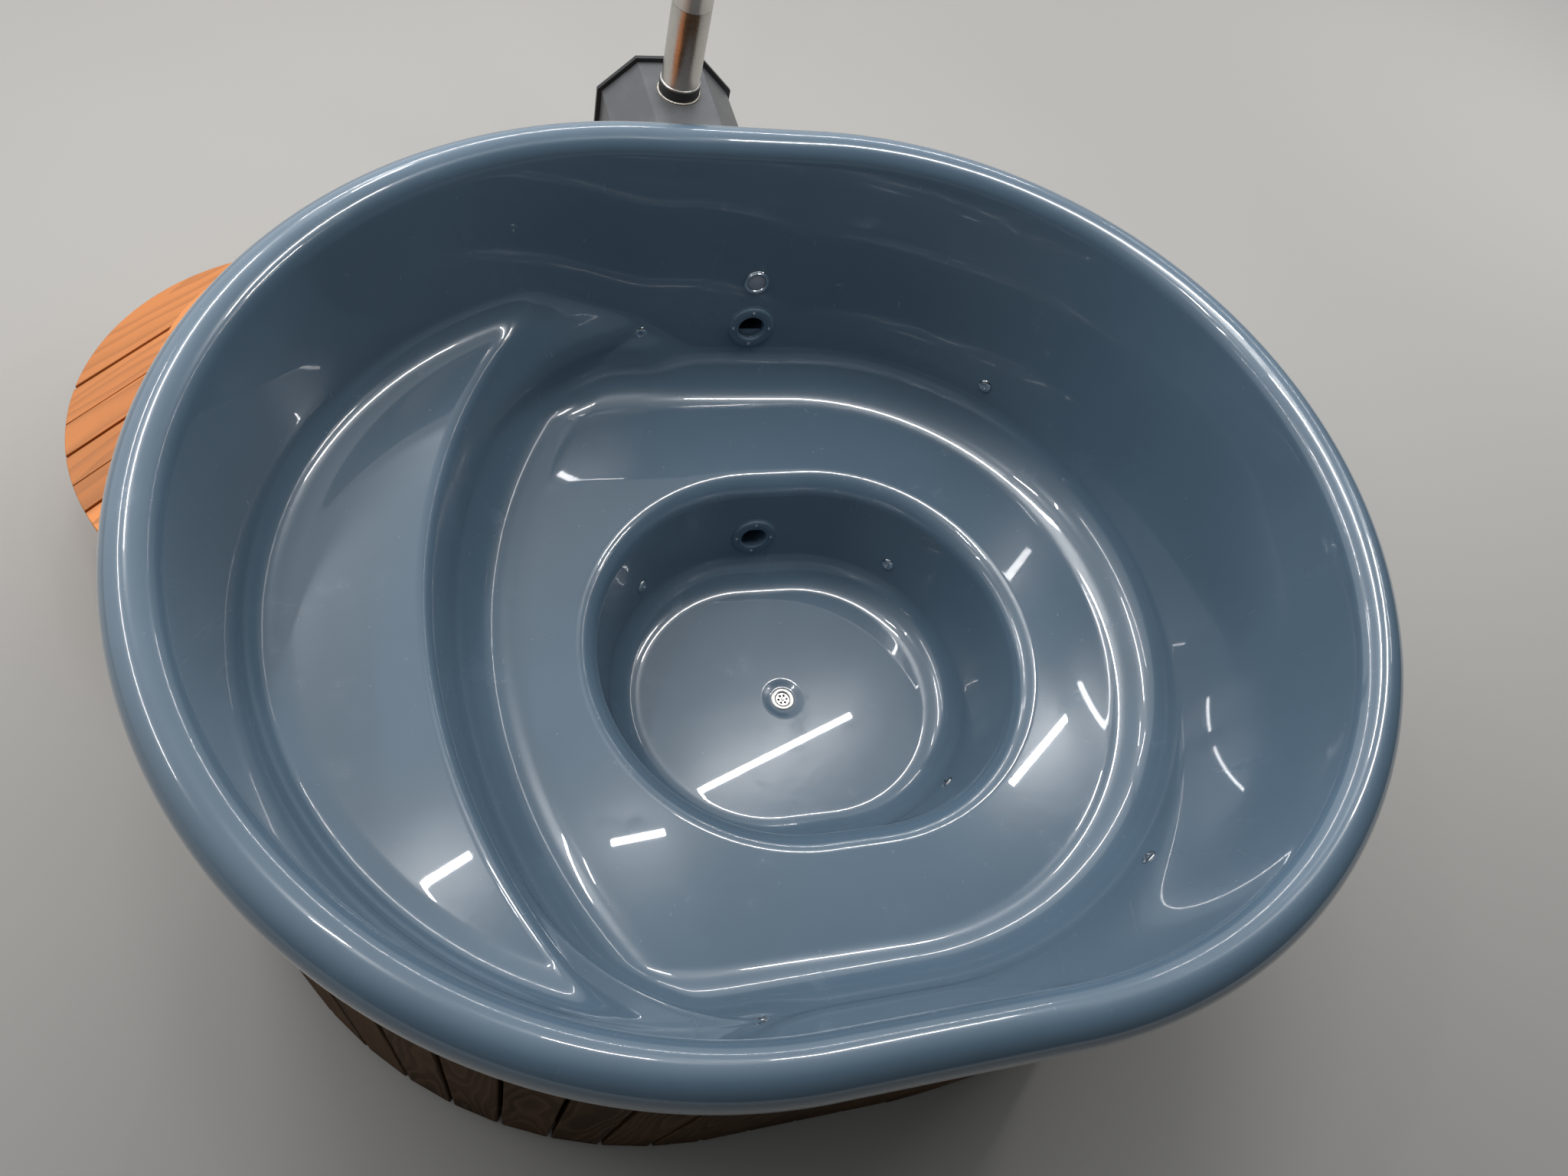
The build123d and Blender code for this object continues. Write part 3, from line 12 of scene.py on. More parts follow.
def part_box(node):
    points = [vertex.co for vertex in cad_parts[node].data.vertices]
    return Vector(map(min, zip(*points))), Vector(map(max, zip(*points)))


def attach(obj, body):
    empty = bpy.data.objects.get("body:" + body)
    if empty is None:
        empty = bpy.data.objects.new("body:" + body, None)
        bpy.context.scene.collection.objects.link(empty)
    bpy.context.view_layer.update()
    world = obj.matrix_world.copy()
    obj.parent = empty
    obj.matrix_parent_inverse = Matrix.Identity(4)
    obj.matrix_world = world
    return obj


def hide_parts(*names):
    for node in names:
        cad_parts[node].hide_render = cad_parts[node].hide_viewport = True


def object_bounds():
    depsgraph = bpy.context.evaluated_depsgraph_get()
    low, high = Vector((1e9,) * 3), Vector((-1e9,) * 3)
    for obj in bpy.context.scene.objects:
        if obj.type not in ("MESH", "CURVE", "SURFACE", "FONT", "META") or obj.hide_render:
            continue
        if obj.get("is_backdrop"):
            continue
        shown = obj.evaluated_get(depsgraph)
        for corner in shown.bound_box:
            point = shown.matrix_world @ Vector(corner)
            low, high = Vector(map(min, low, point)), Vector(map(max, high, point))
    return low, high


bl_info = {
    "name": "Oval hot tub",
    "version": (1, 0, 0),
    "blender": (4, 5, 0),
    "location": "3D View > Sidebar > Hot tub",
    "description": "Dresses an oval hot tub with a moulded liner, boards, a wood heater and a step",
    "category": "Add Mesh",
}

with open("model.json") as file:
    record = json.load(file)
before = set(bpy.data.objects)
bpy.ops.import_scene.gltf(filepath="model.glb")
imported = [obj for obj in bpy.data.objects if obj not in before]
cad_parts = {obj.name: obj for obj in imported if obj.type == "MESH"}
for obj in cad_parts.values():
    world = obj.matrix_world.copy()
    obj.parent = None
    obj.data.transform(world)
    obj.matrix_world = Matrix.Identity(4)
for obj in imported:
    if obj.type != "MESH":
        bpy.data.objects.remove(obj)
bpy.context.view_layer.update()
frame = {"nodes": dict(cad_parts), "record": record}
MM = 0.001


def size(name, default, description):
    """A length in metres that the sidebar shows."""
    return FloatProperty(name=name, default=default, min=0.0, unit="LENGTH", description=description)


def angle(name, degrees, description):
    """An angle that the sidebar shows."""
    return FloatProperty(name=name, default=math.radians(degrees), unit="ROTATION", description=description)


def colour(name, default, description):
    """A colour that the sidebar shows."""
    return FloatVectorProperty(
        name=name, default=default, size=3, min=0.0, max=1.0, subtype="COLOR", description=description
    )


class TubSizes(bpy.types.PropertyGroup):
    """Sizes of the pieces that are made here."""

    rim_height: size("Rim height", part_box("liner")[1].z, "Floor to the crest of the rim")
    half_straight: size("Half straight", 0.190, "Half of the straight stretch between the round ends")
    lip_radius: size("Lip radius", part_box("liner")[1].y, "Outside of the rolled rim at the round ends")
    roll_radius: size("Roll radius", 0.047, "Radius of the rolled rim")
    lip_drop: size("Lip drop", 0.014, "Length of the hanging lip below the roll")
    liner_wall: size("Liner wall", 0.008, "Thickness of the liner")
    wall_slope: angle("Wall slope", 10.2, "Lean of the bathing wall off upright")
    bench_height: size("Bench height", 0.670, "Floor to the crescent bench")
    seat_height: size("Seat height", 0.420, "Floor to the seat ledge")
    well_height: size("Well height", 0.103, "Floor to the bottom of the foot well")
    bench_front: size("Bench front", 0.705, "From the middle of the oval to the bench's front edge")
    riser_radius: size("Riser radius", 1.290, "Radius of the bench's curved front")
    riser_slope: angle("Riser slope", 15.0, "Lean of the bench's front off upright")
    bench_cove: size("Bench cove", 0.060, "Rounding where the wall meets the bench")
    corner_cove: size("Corner cove", 0.180, "Rounding where the wall meets the bench's front")
    seat_cove: size("Seat cove", 0.105, "Rounding where the walls meet the seat ledge")
    bench_nose: size("Bench nose", 0.024, "Rounding of the bench's front edge")
    seat_nose: size("Seat nose", 0.045, "Rounding of the foot well's brim")
    well_place: size("Well place", 0.134, "Middle of the foot well along the tub")
    well_straight: size("Well straight", 0.063, "Half of the foot well's straight stretch")
    well_radius: size("Well radius", 0.442, "Radius of the foot well at the seat's height")
    well_slope: angle("Well slope", 12.0, "Lean of the foot well's wall off upright")
    well_cove: size("Well cove", 0.070, "Rounding round the foot well's floor")
    drain_place: size("Drain place", 0.128, "Middle of the drain along the tub")
    columns: IntProperty(name="Liner columns", default=640, min=64, description="Faces round the liner")
    rows: IntProperty(name="Liner rows", default=270, min=40, description="Faces down the liner")


class TubColours(bpy.types.PropertyGroup):
    """Colours of the finishes."""

    gelcoat: colour("Gelcoat", (0.086, 0.134, 0.183), "Moulded liner")
    board: colour("Boards", (0.034, 0.0175, 0.0075), "Upright boards round the tub")
    plank: colour("Step planks", (0.74, 0.27, 0.078), "Oiled planks of the step")
    timber: colour("Frame timber", (0.30, 0.19, 0.095), "Sawn timber behind the boards")
    heater: colour("Heater", (0.100, 0.102, 0.107), "Painted steel of the heater")
    floor: colour("Floor", (0.362, 0.351, 0.332), "Floor and backdrop")


class Number:
    """A value in a material. Arithmetic on it adds Math nodes."""

    def __init__(self, finish, socket):
        self.finish = finish
        self.socket = socket

    def maths(self, operation, *values):
        return self.finish.node("ShaderNodeMath", {"operation": operation}, dict(enumerate(values)))

    def __add__(self, other):
        return self.maths("ADD", self, other)

    def __sub__(self, other):
        return self.maths("SUBTRACT", self, other)

    def __rsub__(self, other):
        return self.maths("SUBTRACT", other, self)

    def __mul__(self, other):
        return self.maths("MULTIPLY", self, other)

    def __truediv__(self, other):
        return self.maths("DIVIDE", self, other)

    __radd__ = __add__
    __rmul__ = __mul__


class Shading:
    """Adds nodes to a material or a world."""

    def __init__(self, holder, shader_kind, output_kind):
        holder.use_nodes = True
        self.tree = holder.node_tree
        self.tree.nodes.clear()
        self.shader = self.tree.nodes.new(shader_kind)
        output = self.tree.nodes.new(output_kind)
        self.tree.links.new(self.shader.outputs[0], output.inputs["Surface"])

    def node(self, kind, settings=None, values=None, output=0):
        """Adds a node: its settings first, then what its sockets hold or are linked to."""
        made = self.tree.nodes.new(kind)
        for setting, value in (settings or {}).items():
            setattr(made, setting, value)
        for socket, value in (values or {}).items():
            self.feed(made.inputs[socket], value)
        return Number(self, made.outputs[output])

    def feed(self, socket, value):
        """Links a value to a socket, or sets the socket where it's a constant."""
        if isinstance(value, Number):
            self.tree.links.new(value.socket, socket)
        elif hasattr(value, "__len__") and len(value) == 3 and len(socket.default_value) == 4:
            socket.default_value = (*value, 1.0)
        else:
            socket.default_value = value

    def set(self, **channels):
        """Feeds the shader's channels."""
        for channel, value in channels.items():
            self.feed(self.shader.inputs[channel.replace("_", " ")], value)
        return self

    def step(self, value, low, high):
        """0 below a low value and 1 above a high one, smooth between."""
        settings = {"interpolation_type": "SMOOTHSTEP"}
        return self.node("ShaderNodeMapRange", settings, {"Value": value, "From Min": low, "From Max": high})

    def vector(self, operation, values, output=0):
        """Adds a Vector Math node."""
        return self.node("ShaderNodeVectorMath", {"operation": operation}, values, output)

    def mix(self, share, first, second):
        """Mixes two colours."""
        return self.node("ShaderNodeMix", {"data_type": "RGBA"}, {0: share, 6: first, 7: second}, output=2)


class Finish(Shading):
    """A procedural material on one Principled shader."""

    def __init__(self, name, **constants):
        self.material = bpy.data.materials.new(name)
        super().__init__(self.material, "ShaderNodeBsdfPrincipled", "ShaderNodeOutputMaterial")
        for socket, value in constants.items():
            self.shader.inputs[socket.replace("_", " ")].default_value = value

    def place(self, scale=(1.0, 1.0, 1.0), source=None):
        """Places on the object, in metres, times a scale along each axis."""
        if source is None:
            source = self.node("ShaderNodeTexCoord", output=3)
        return self.vector("MULTIPLY", {0: source, 1: scale})

    def noise(self, where, scale, detail=3.0, roughness=0.5):
        """Soft cloudy noise from 0 to 1."""
        values = {"Vector": where, "Scale": scale, "Detail": detail, "Roughness": roughness}
        return self.node("ShaderNodeTexNoise", None, values)

    def bump(self, height, distance, strength):
        """Tilts the surface by a height."""
        values = {"Height": height, "Distance": distance, "Strength": strength}
        return self.node("ShaderNodeBump", None, values)


def shade(values, share):
    """A colour made darker or lighter by a share."""
    return tuple(min(1.0, part * share) for part in values)


def gelcoat_finish(name, tone):
    """Glossy moulded gelcoat: slight ripples, faint marks and fine scratches."""
    made = Finish(name, IOR=1.5, Coat_Weight=1.0, Coat_Roughness=0.02, Coat_IOR=1.5)
    where = made.place()
    cloud = made.noise(where, 2.2, 4.0)
    tint = made.mix(made.step(cloud, 0.3, 0.7), shade(tone, 0.93), shade(tone, 1.07))
    smear = made.step(made.noise(made.place((1.0, 1.0, 0.35)), 9.0, 6.0, 0.62), 0.56, 0.75)
    waver = made.node("ShaderNodeTexNoise", None, {"Vector": where, "Scale": 3.0}, output=1)
    strokes = made.vector("ADD", {0: made.place((60.0, 60.0, 5.0)), 1: waver})
    scratch = made.step(made.noise(strokes, 1.0, 2.0), 0.735, 0.76)
    marks = smear * 0.5 + scratch * 0.5
    made.set(Base_Color=made.mix(marks * 0.16, tint, shade(tone, 1.7)), Roughness=0.22 + marks * 0.2)
    ripple = made.noise(where, 5.0, 2.0, 0.4) + made.noise(where, 13.0, 1.0) * 0.16
    patch = made.step(made.noise(where, 2.6, 1.0), 0.42, 0.58)
    shiver = made.noise(where, 48.0, 2.0, 0.5) * patch
    made.set(Normal=made.bump(ripple + shiver * 0.15, 0.0016, 0.55))
    return made.material


def metal_finish(name, tone, roughness, grain=(1.0, 1.0, 60.0), wear=0.12):
    """Brushed or polished metal: a fine grain along one way, clouded a little by handling."""
    made = Finish(name, Metallic=1.0)
    line = made.noise(made.place(grain), 22.0, 3.0, 0.6)
    cloud = made.step(made.noise(made.place(), 7.0, 4.0), 0.35, 0.7)
    tint = made.mix(cloud, shade(tone, 1.0 - wear), shade(tone, 1.0 + wear))
    made.set(Base_Color=made.mix(line * 0.35, tint, shade(tone, 0.8)))
    made.set(Roughness=roughness + line * 0.1 + cloud * 0.06)
    made.set(Normal=made.bump(line, 0.0002, 0.3))
    return made.material


def paint_finish(name, tone, roughness, peel_depth=0.0004):
    """Heat-proof paint on steel: a fine orange peel, dust and rubbed places."""
    made = Finish(name, Metallic=0.25)
    peel = made.noise(made.place(), 420.0, 2.0)
    dust = made.step(made.noise(made.place(), 5.0, 5.0, 0.65), 0.45, 0.8)
    tint = made.mix(dust * 0.35, tone, shade(tone, 2.3))
    made.set(Base_Color=tint, Roughness=roughness + dust * 0.18)
    made.set(Normal=made.bump(peel, peel_depth, 0.4))
    return made.material


def plastic_finish(name, tone, roughness):
    """Moulded plastic with a faint grain."""
    made = Finish(name)
    fine = made.noise(made.place(), 240.0, 3.0)
    cloud = made.noise(made.place(), 14.0, 3.0)
    made.set(Base_Color=made.mix(cloud, shade(tone, 0.9), shade(tone, 1.12)))
    made.set(Roughness=roughness + fine * 0.12)
    made.set(Normal=made.bump(fine, 0.0002, 0.35))
    return made.material


def plank_log(made):
    """The place in its log and the tone that each plank carries as attributes."""
    log = made.node("ShaderNodeAttribute", {"attribute_name": "grain"}, output=1)
    return log, made.node("ShaderNodeAttribute", {"attribute_name": "plank"}, output=2)


def timber_log(turn, pitch):
    """A log along Z for timber without attributes, turned and shifted from one timber to the next."""
    def read(made):
        source = made.node("ShaderNodeTexCoord", output=3)
        about_x = {"rotation_type": "X_AXIS"}
        turned_way = made.node("ShaderNodeVectorRotate", about_x, {0: source, "Angle": turn})
        number = made.vector("SNAP", {0: turned_way, 1: (pitch, pitch, 9.0)})
        luck = made.node("ShaderNodeTexWhiteNoise", None, {"Vector": number}, output=1)
        log = made.vector("ADD", {0: turned_way, 1: made.vector("SCALE", {0: luck, "Scale": 0.4})})
        return log, made.node("ShaderNodeTexWhiteNoise", None, {"Vector": number}, output=0)

    return read


def wood_finish(
    name, tone, late_share, ring, roughness, contrast=1.0, knots=0.5, read_log=plank_log, gloss_level=0.25
):
    """Sawn softwood with growth rings, fibres and knots, from a place in a log that lies along Z."""
    made = Finish(name, Specular_IOR_Level=gloss_level)
    late = shade(tone, late_share)
    log, plank = read_log(made)
    slow = {"Vector": made.place((1.0, 1.0, 0.22), log), "Scale": 7.0, "Detail": 2.0}
    wander = made.node("ShaderNodeTexNoise", None, slow, output=1)
    bend = made.vector("SCALE", {0: made.vector("SUBTRACT", {0: wander, 1: (0.5, 0.5, 0.5)}), "Scale": 0.05})
    bent = made.vector("ADD", {0: log, 1: bend})
    flat = made.place((1.0, 1.0, 0.0), bent)
    radius = made.vector("LENGTH", {0: flat}, output=1)
    years = radius / ring + made.noise(flat, 14.0, 2.0) * 2.2
    rings = made.node("ShaderNodeMath", {"operation": "FRACT"}, {0: years})
    dark_ring = made.step(rings, 0.35, 0.93) * (1.0 - made.step(rings, 0.95, 1.0))
    fibre = made.noise(made.place((1.0, 1.0, 0.02), log), 900.0, 3.0, 0.6)
    streak = made.noise(made.place((1.0, 1.0, 0.05), log), 60.0, 3.0, 0.6)
    blotch = made.noise(made.place((1.0, 1.0, 0.3), log), 5.0, 3.0)
    cell = {"Vector": made.place((1.0, 1.0, 0.16), bent), "Scale": 5.2, "Randomness": 1.0}
    knot_distance = made.node("ShaderNodeTexVoronoi", None, cell)
    knot = (1.0 - made.step(knot_distance, 0.045, 0.085)) * knots
    base = made.mix(plank, shade(tone, 0.72), shade(tone, 1.28))
    base = made.mix(made.step(blotch, 0.3, 0.75) * 0.4, base, late)
    ringed = made.mix(dark_ring * (0.55 * contrast) + streak * 0.12, base, late)
    knotted = made.mix(knot, ringed, shade(late, 0.35))
    made.set(Base_Color=made.mix(fibre * 0.22, knotted, shade(late, 0.6)))
    made.set(Roughness=roughness + fibre * 0.16 - dark_ring * 0.06)
    relief = dark_ring * 0.5 + fibre * 0.35 + streak * 0.2
    made.set(Normal=made.bump(relief, 0.0007, 0.6))
    return made.material


def glass_finish(name):
    """Lamp glass, slightly milky with fine ribs."""
    made = Finish(name, Transmission_Weight=0.25, IOR=1.46, Coat_Weight=0.6)
    rib = made.noise(made.place(), 300.0, 2.0)
    made.set(Base_Color=made.mix(rib, (0.24, 0.25, 0.29), (0.50, 0.52, 0.58)), Roughness=0.1 + rib * 0.12)
    made.set(Normal=made.bump(rib, 0.0004, 0.5))
    return made.material


def rope_finish(name):
    """Woven glass rope."""
    made = Finish(name)
    weave = made.node(
        "ShaderNodeTexWave", {"wave_type": "BANDS", "bands_direction": "DIAGONAL"},
        {"Vector": made.place(), "Scale": 90.0, "Distortion": 1.5},
    )
    fuzz = made.noise(made.place(), 500.0, 3.0)
    made.set(Base_Color=made.mix(weave, (0.2, 0.18, 0.15), (0.42, 0.39, 0.33)), Roughness=0.82 + fuzz * 0.1)
    made.set(Normal=made.bump(weave + fuzz * 0.4, 0.001, 0.8))
    return made.material


# Distances from the middle where the floor's painted light starts and where it is full
PAINTED_LIGHT_START = 2.9
PAINTED_LIGHT_FULL = 9.5


def floor_finish(name, tone):
    """Plain pale floor, a little cloudy, with painted light: its colour turns paler further out, standing in
    for the lamp light that falls off there.
    """
    made = Finish(name)
    cloud = made.noise(made.place(), 0.5, 3.0)
    near = made.mix(cloud, shade(tone, 0.97), shade(tone, 1.03))
    distance = made.vector("LENGTH", {0: made.place()}, output=1)
    # Painted light: the colour grows paler with distance from the tub, in place of lamp light that does not
    # reach that far
    far = made.mix(made.step(distance, PAINTED_LIGHT_START, PAINTED_LIGHT_FULL), near, shade(tone, 2.3))
    made.set(Base_Color=far, Roughness=0.75 + cloud * 0.1)
    return made.material


finishes = {}


def finish_for(slot):
    """The material of one of the record's slots, made on first use."""
    if slot in finishes:
        return finishes[slot]
    tones = bpy.context.scene.tub_colours
    board = {"tone": tones.board, "late_share": 3.6, "ring": 0.0095, "roughness": 0.6, "gloss_level": 0.05}
    timber = {"tone": tones.timber, "late_share": 0.6, "ring": 0.006, "roughness": 0.65}
    even = (1.0, 1.0, 1.0)
    chrome = {"tone": (0.66, 0.68, 0.70), "roughness": 0.06, "grain": even, "wear": 0.04}
    grate = {"tone": shade(tones.heater, 0.6), "roughness": 0.75, "peel_depth": 0.0012}
    plank = {"tone": tones.plank, "late_share": 0.45, "ring": 0.014, "roughness": 0.42}
    makers = {
        "gelcoat": (gelcoat_finish, {"tone": tones.gelcoat}),
        "dark_board": (wood_finish, board),
        "back_board": (wood_finish, {**board, "read_log": timber_log(0.0, 0.105)}),
        "frame_timber": (wood_finish, {**timber, "read_log": timber_log(0.0, 0.7)}),
        "level_timber": (wood_finish, {**timber, "read_log": timber_log(math.radians(90), 0.268)}),
        "step_plank": (wood_finish, {**plank, "contrast": 0.95, "knots": 0.9}),
        "stainless": (metal_finish, {"tone": (0.62, 0.60, 0.57), "roughness": 0.22}),
        "chrome_trim": (metal_finish, chrome),
        "weld_bead": (metal_finish, {"tone": (0.52, 0.48, 0.42), "roughness": 0.3, "grain": (8.0, 8.0, 8.0)}),
        "valve_brass": (metal_finish, {"tone": (0.62, 0.42, 0.16), "roughness": 0.28, "grain": even}),
        "port_plastic": (plastic_finish, {"tone": shade(tones.gelcoat, 1.05), "roughness": 0.12}),
        "dark_fitting": (plastic_finish, {"tone": (0.03, 0.033, 0.037), "roughness": 0.42}),
        "hose_rubber": (plastic_finish, {"tone": (0.02, 0.02, 0.021), "roughness": 0.6}),
        "lamp_glass": (glass_finish, {}),
        "heater_steel": (paint_finish, {"tone": tones.heater, "roughness": 0.36}),
        "black_steel": (paint_finish, {"tone": shade(tones.heater, 0.3), "roughness": 0.45}),
        "cast_grate": (paint_finish, grate),
        "rope_seal": (rope_finish, {}),
    }
    maker, values = makers[slot]
    finishes[slot] = maker(slot, **values)
    return finishes[slot]


node_slots = {part["node"]: part["material_slot"] for part in frame["record"]["subparts"]}
node_bodies = {node: body for body, nodes in frame["record"]["behaviour"]["bodies"].items() for node in nodes}


def dress(*nodes, finish_name=None):
    """Gives CAD nodes that keep their own mesh their finish, or a version of it."""
    for node in nodes:
        piece = frame["nodes"][node]
        finish = finish_for(finish_name or node_slots[node])
        if not piece.material_slots:
            piece.data.materials.append(finish)
        for slot in piece.material_slots:
            slot.material = finish


def new_piece(name, points, faces, node, smooth_angle=40.0, replaces=True):
    """Makes a piece in metres that rides with a CAD node and takes its finish."""
    mesh = bpy.data.meshes.new(name)
    mesh.from_pydata([tuple(point) for point in points], [], [tuple(face) for face in faces])
    mesh.validate()
    piece = bpy.data.objects.new(name, mesh)
    bpy.context.scene.collection.objects.link(piece)
    mesh.shade_smooth()
    mesh.set_sharp_from_angle(angle=math.radians(smooth_angle))
    mesh.materials.append(finish_for(node_slots[node]))
    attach(piece, node_bodies[node])
    if replaces:
        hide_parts(node)
    return piece


def tub_sizes():
    """The sizes set in the sidebar."""
    return bpy.context.scene.tub_sizes


# The liner's inside is one surface: level and sloping parts, joined by round coves and noses.


def meet(first, second, radius):
    """Where both spaces hold, with the inside corner between them rounded."""
    corner = np.hypot(np.maximum(first + radius, 0.0), np.maximum(second + radius, 0.0))
    return np.minimum(-radius, np.maximum(first, second)) + corner


def join(first, second, radius):
    """Where either space holds, with the nose between them rounded."""
    nose = np.hypot(np.maximum(radius - first, 0.0), np.maximum(radius - second, 0.0))
    return np.maximum(radius, np.minimum(first, second)) - nose


def oval_distance(x, y, middle, straight):
    """Distance from the straight line between an oval's two centres."""
    return np.hypot(x - np.clip(x, middle - straight, middle + straight), y)


def ease(value, low, high):
    """0 below low and 1 above high, smooth between."""
    share = np.clip((value - low) / (high - low), 0.0, 1.0)
    return share * share * (3.0 - 2.0 * share)


DISH_DEPTH = 0.004
DISH_INSIDE = 0.031
DISH_OUTSIDE = 0.058
CORNER_REACH = (-0.24, -0.15)  # how far from the bench's front its corner cove starts and is full
CORNER_RISE = (0.02, 0.13)  # above the seat, where it starts and is full
BENCH_RISE = (-0.10, 0.02)  # about the bench, where its own cove starts and is full


class Cavity:
    """The space inside the liner, as a field that is negative inside."""

    def __init__(self, sizes):
        self.sizes = sizes
        lean = sizes.wall_slope
        self.roll_middle_radius = sizes.lip_radius - sizes.roll_radius
        self.roll_middle_height = sizes.rim_height - sizes.roll_radius
        self.top_radius = self.roll_middle_radius - sizes.roll_radius * math.cos(lean)
        self.top_height = self.roll_middle_height + sizes.roll_radius * math.sin(lean)

    def wall_radius(self, z):
        """Inside of the bathing wall at the round ends, at a height."""
        return self.top_radius - (self.top_height - z) * math.tan(self.sizes.wall_slope)

    def well_wall_radius(self, z):
        """Inside of the foot well's wall at its round ends, at a height."""
        return self.sizes.well_radius - (self.sizes.seat_height - z) * math.tan(self.sizes.well_slope)

    def field(self, x, y, z):
        """How far a point lies outside the cavity."""
        s = self.sizes
        wall = (oval_distance(x, y, 0.0, s.half_straight) - self.wall_radius(z)) * math.cos(s.wall_slope)
        riser_x = s.riser_radius - s.bench_front
        riser_reach = s.riser_radius - (s.bench_height - z) * math.tan(s.riser_slope)
        riser = (np.hypot(x - riser_x, y) - riser_reach) * math.cos(s.riser_slope)
        well_round = oval_distance(x, y, s.well_place, s.well_straight) - self.well_wall_radius(z)
        dish = DISH_DEPTH * (1.0 - ease(np.hypot(x - s.drain_place, y), DISH_INSIDE, DISH_OUTSIDE))
        well = meet(well_round * math.cos(s.well_slope), s.well_height - dish - z, s.well_cove)
        seat = meet(s.seat_height - z, riser, s.seat_cove)
        lower = join(seat, well, s.seat_nose)
        steps = join(s.bench_height - z, lower, s.bench_nose)
        corner = ease(z - s.seat_height, *CORNER_RISE) * ease(riser, *CORNER_REACH)
        low_cove = s.seat_cove + (s.corner_cove - s.seat_cove) * corner
        cove = low_cove + (s.bench_cove - low_cove) * ease(z - s.bench_height, *BENCH_RISE)
        return meet(wall, steps, cove)


EYE_HEIGHT = 1.10  # the point over the drain from which every part of the liner's inside is seen
NEAREST, FARTHEST = 0.02, 2.4  # how far from it the surface can lie
RAY_HALVINGS = 30
RIM_HALVINGS = 40
PLACES_DOWN = 700
DRAIN_OPENING = 0.0205
ROW_LENGTH = 0.016
ROW_BEND = math.radians(3.5)


def hit_surface(cavity, eye, across, lean):
    """Points where rays from the eye, at an angle off straight down, first leave the cavity."""
    way = np.stack([across[0] * np.sin(lean), across[1] * np.sin(lean), -np.cos(lean)])
    near = np.full(lean.shape, NEAREST)
    far = np.full(lean.shape, FARTHEST)
    for _ in range(RAY_HALVINGS):
        middle = (near + far) / 2
        point = eye[:, None, None] + way * middle
        outside = cavity.field(*point) > 0
        far = np.where(outside, middle, far)
        near = np.where(outside, near, middle)
    return eye[:, None, None] + way * near


def liner_rows(cavity, columns, rows):
    """Places down the liner's inside for each column round it, closer together on coves and noses."""
    s = cavity.sizes
    eye = np.array([s.drain_place, 0.0, EYE_HEIGHT])
    turn = np.linspace(0.0, 2.0 * math.pi, columns, endpoint=False)
    across = np.stack([np.cos(turn), np.sin(turn)])
    near, far = np.zeros(columns), np.full(columns, 3.0)
    for _ in range(RIM_HALVINGS):
        middle = (near + far) / 2
        point = eye[:2, None] + across * middle
        outside = oval_distance(point[0], point[1], 0.0, s.half_straight) > cavity.top_radius
        far, near = np.where(outside, middle, far), np.where(outside, near, middle)
    last = np.arctan2(near, EYE_HEIGHT - cavity.top_height)
    first = math.atan2(DRAIN_OPENING, EYE_HEIGHT - s.well_height)
    share = np.linspace(0.0, 1.0, PLACES_DOWN)
    lean = first + (last[:, None] - first) * share[None, :]
    across = across[:, :, None]
    points = hit_surface(cavity, eye, across, lean)
    out = (points[0] - eye[0]) * across[0] + (points[1] - eye[1]) * across[1]
    run_out, run_up = np.diff(out, axis=1), np.diff(points[2], axis=1)
    length = np.hypot(run_out, run_up)
    slope = np.unwrap(np.arctan2(run_up, run_out), axis=1)
    bend = np.abs(np.diff(slope, axis=1, prepend=slope[:, :1]))
    weight = length / ROW_LENGTH + bend / ROW_BEND
    weight = np.concatenate([np.zeros((columns, 1)), np.cumsum(weight, axis=1)], axis=1)
    weight /= weight[:, -1:]
    spread = np.hanning(columns // 24 | 1)
    spread /= spread.sum()
    half = len(spread) // 2
    wrapped = np.concatenate([weight[-half:], weight, weight[:half]], axis=0)
    weight = np.apply_along_axis(lambda line: np.convolve(line, spread, "valid"), 0, wrapped)
    target = np.linspace(0.0, 1.0, rows)
    lean = np.stack([np.interp(target, weight[i], lean[i]) for i in range(columns)])
    return hit_surface(cavity, eye, across, lean)


def rim_rows(cavity, top, depth, steps):
    """Rows over the rolled rim and down its hanging lip, from the liner's top row outwards."""
    s = cavity.sizes
    foot_x = np.clip(top[0], -s.half_straight, s.half_straight)
    away = np.stack([top[0] - foot_x, top[1]])
    away /= np.hypot(away[0], away[1])
    radius = s.roll_radius - depth
    rows = []
    for turn in np.linspace(math.pi - s.wall_slope, 0.0, steps)[1:]:
        reach = cavity.roll_middle_radius + radius * math.cos(turn)
        height = cavity.roll_middle_height + radius * math.sin(turn)
        rows.append((reach, height))
    rows.append((s.lip_radius - depth, cavity.roll_middle_height - s.lip_drop * 0.5))
    rows.append((s.lip_radius - depth, cavity.roll_middle_height - s.lip_drop * 0.9))
    rows.append((s.lip_radius - s.liner_wall / 2, cavity.roll_middle_height - s.lip_drop))
    return [np.stack([foot_x + away[0] * r, away[1] * r, np.full(len(foot_x), h)]) for r, h in rows]


def grid_faces(columns, rows, flip=False):
    """Faces of a sheet that closes on itself round its columns."""
    faces = []
    for i in range(columns):
        nearby = (i + 1) % columns
        for j in range(rows - 1):
            face = (i * rows + j, nearby * rows + j, nearby * rows + j + 1, i * rows + j + 1)
            faces.append(face[::-1] if flip else face)
    return faces


def leave_holes(points, faces, places, radius):
    """Leaves out the faces that lie wholly within a radius of a fitting's middle."""
    covered = np.zeros(len(points), dtype=bool)
    for place in places:
        covered |= np.linalg.norm(points - np.array(place.translation), axis=1) < radius
    return [face for face in faces if not all(covered[corner] for corner in face)]


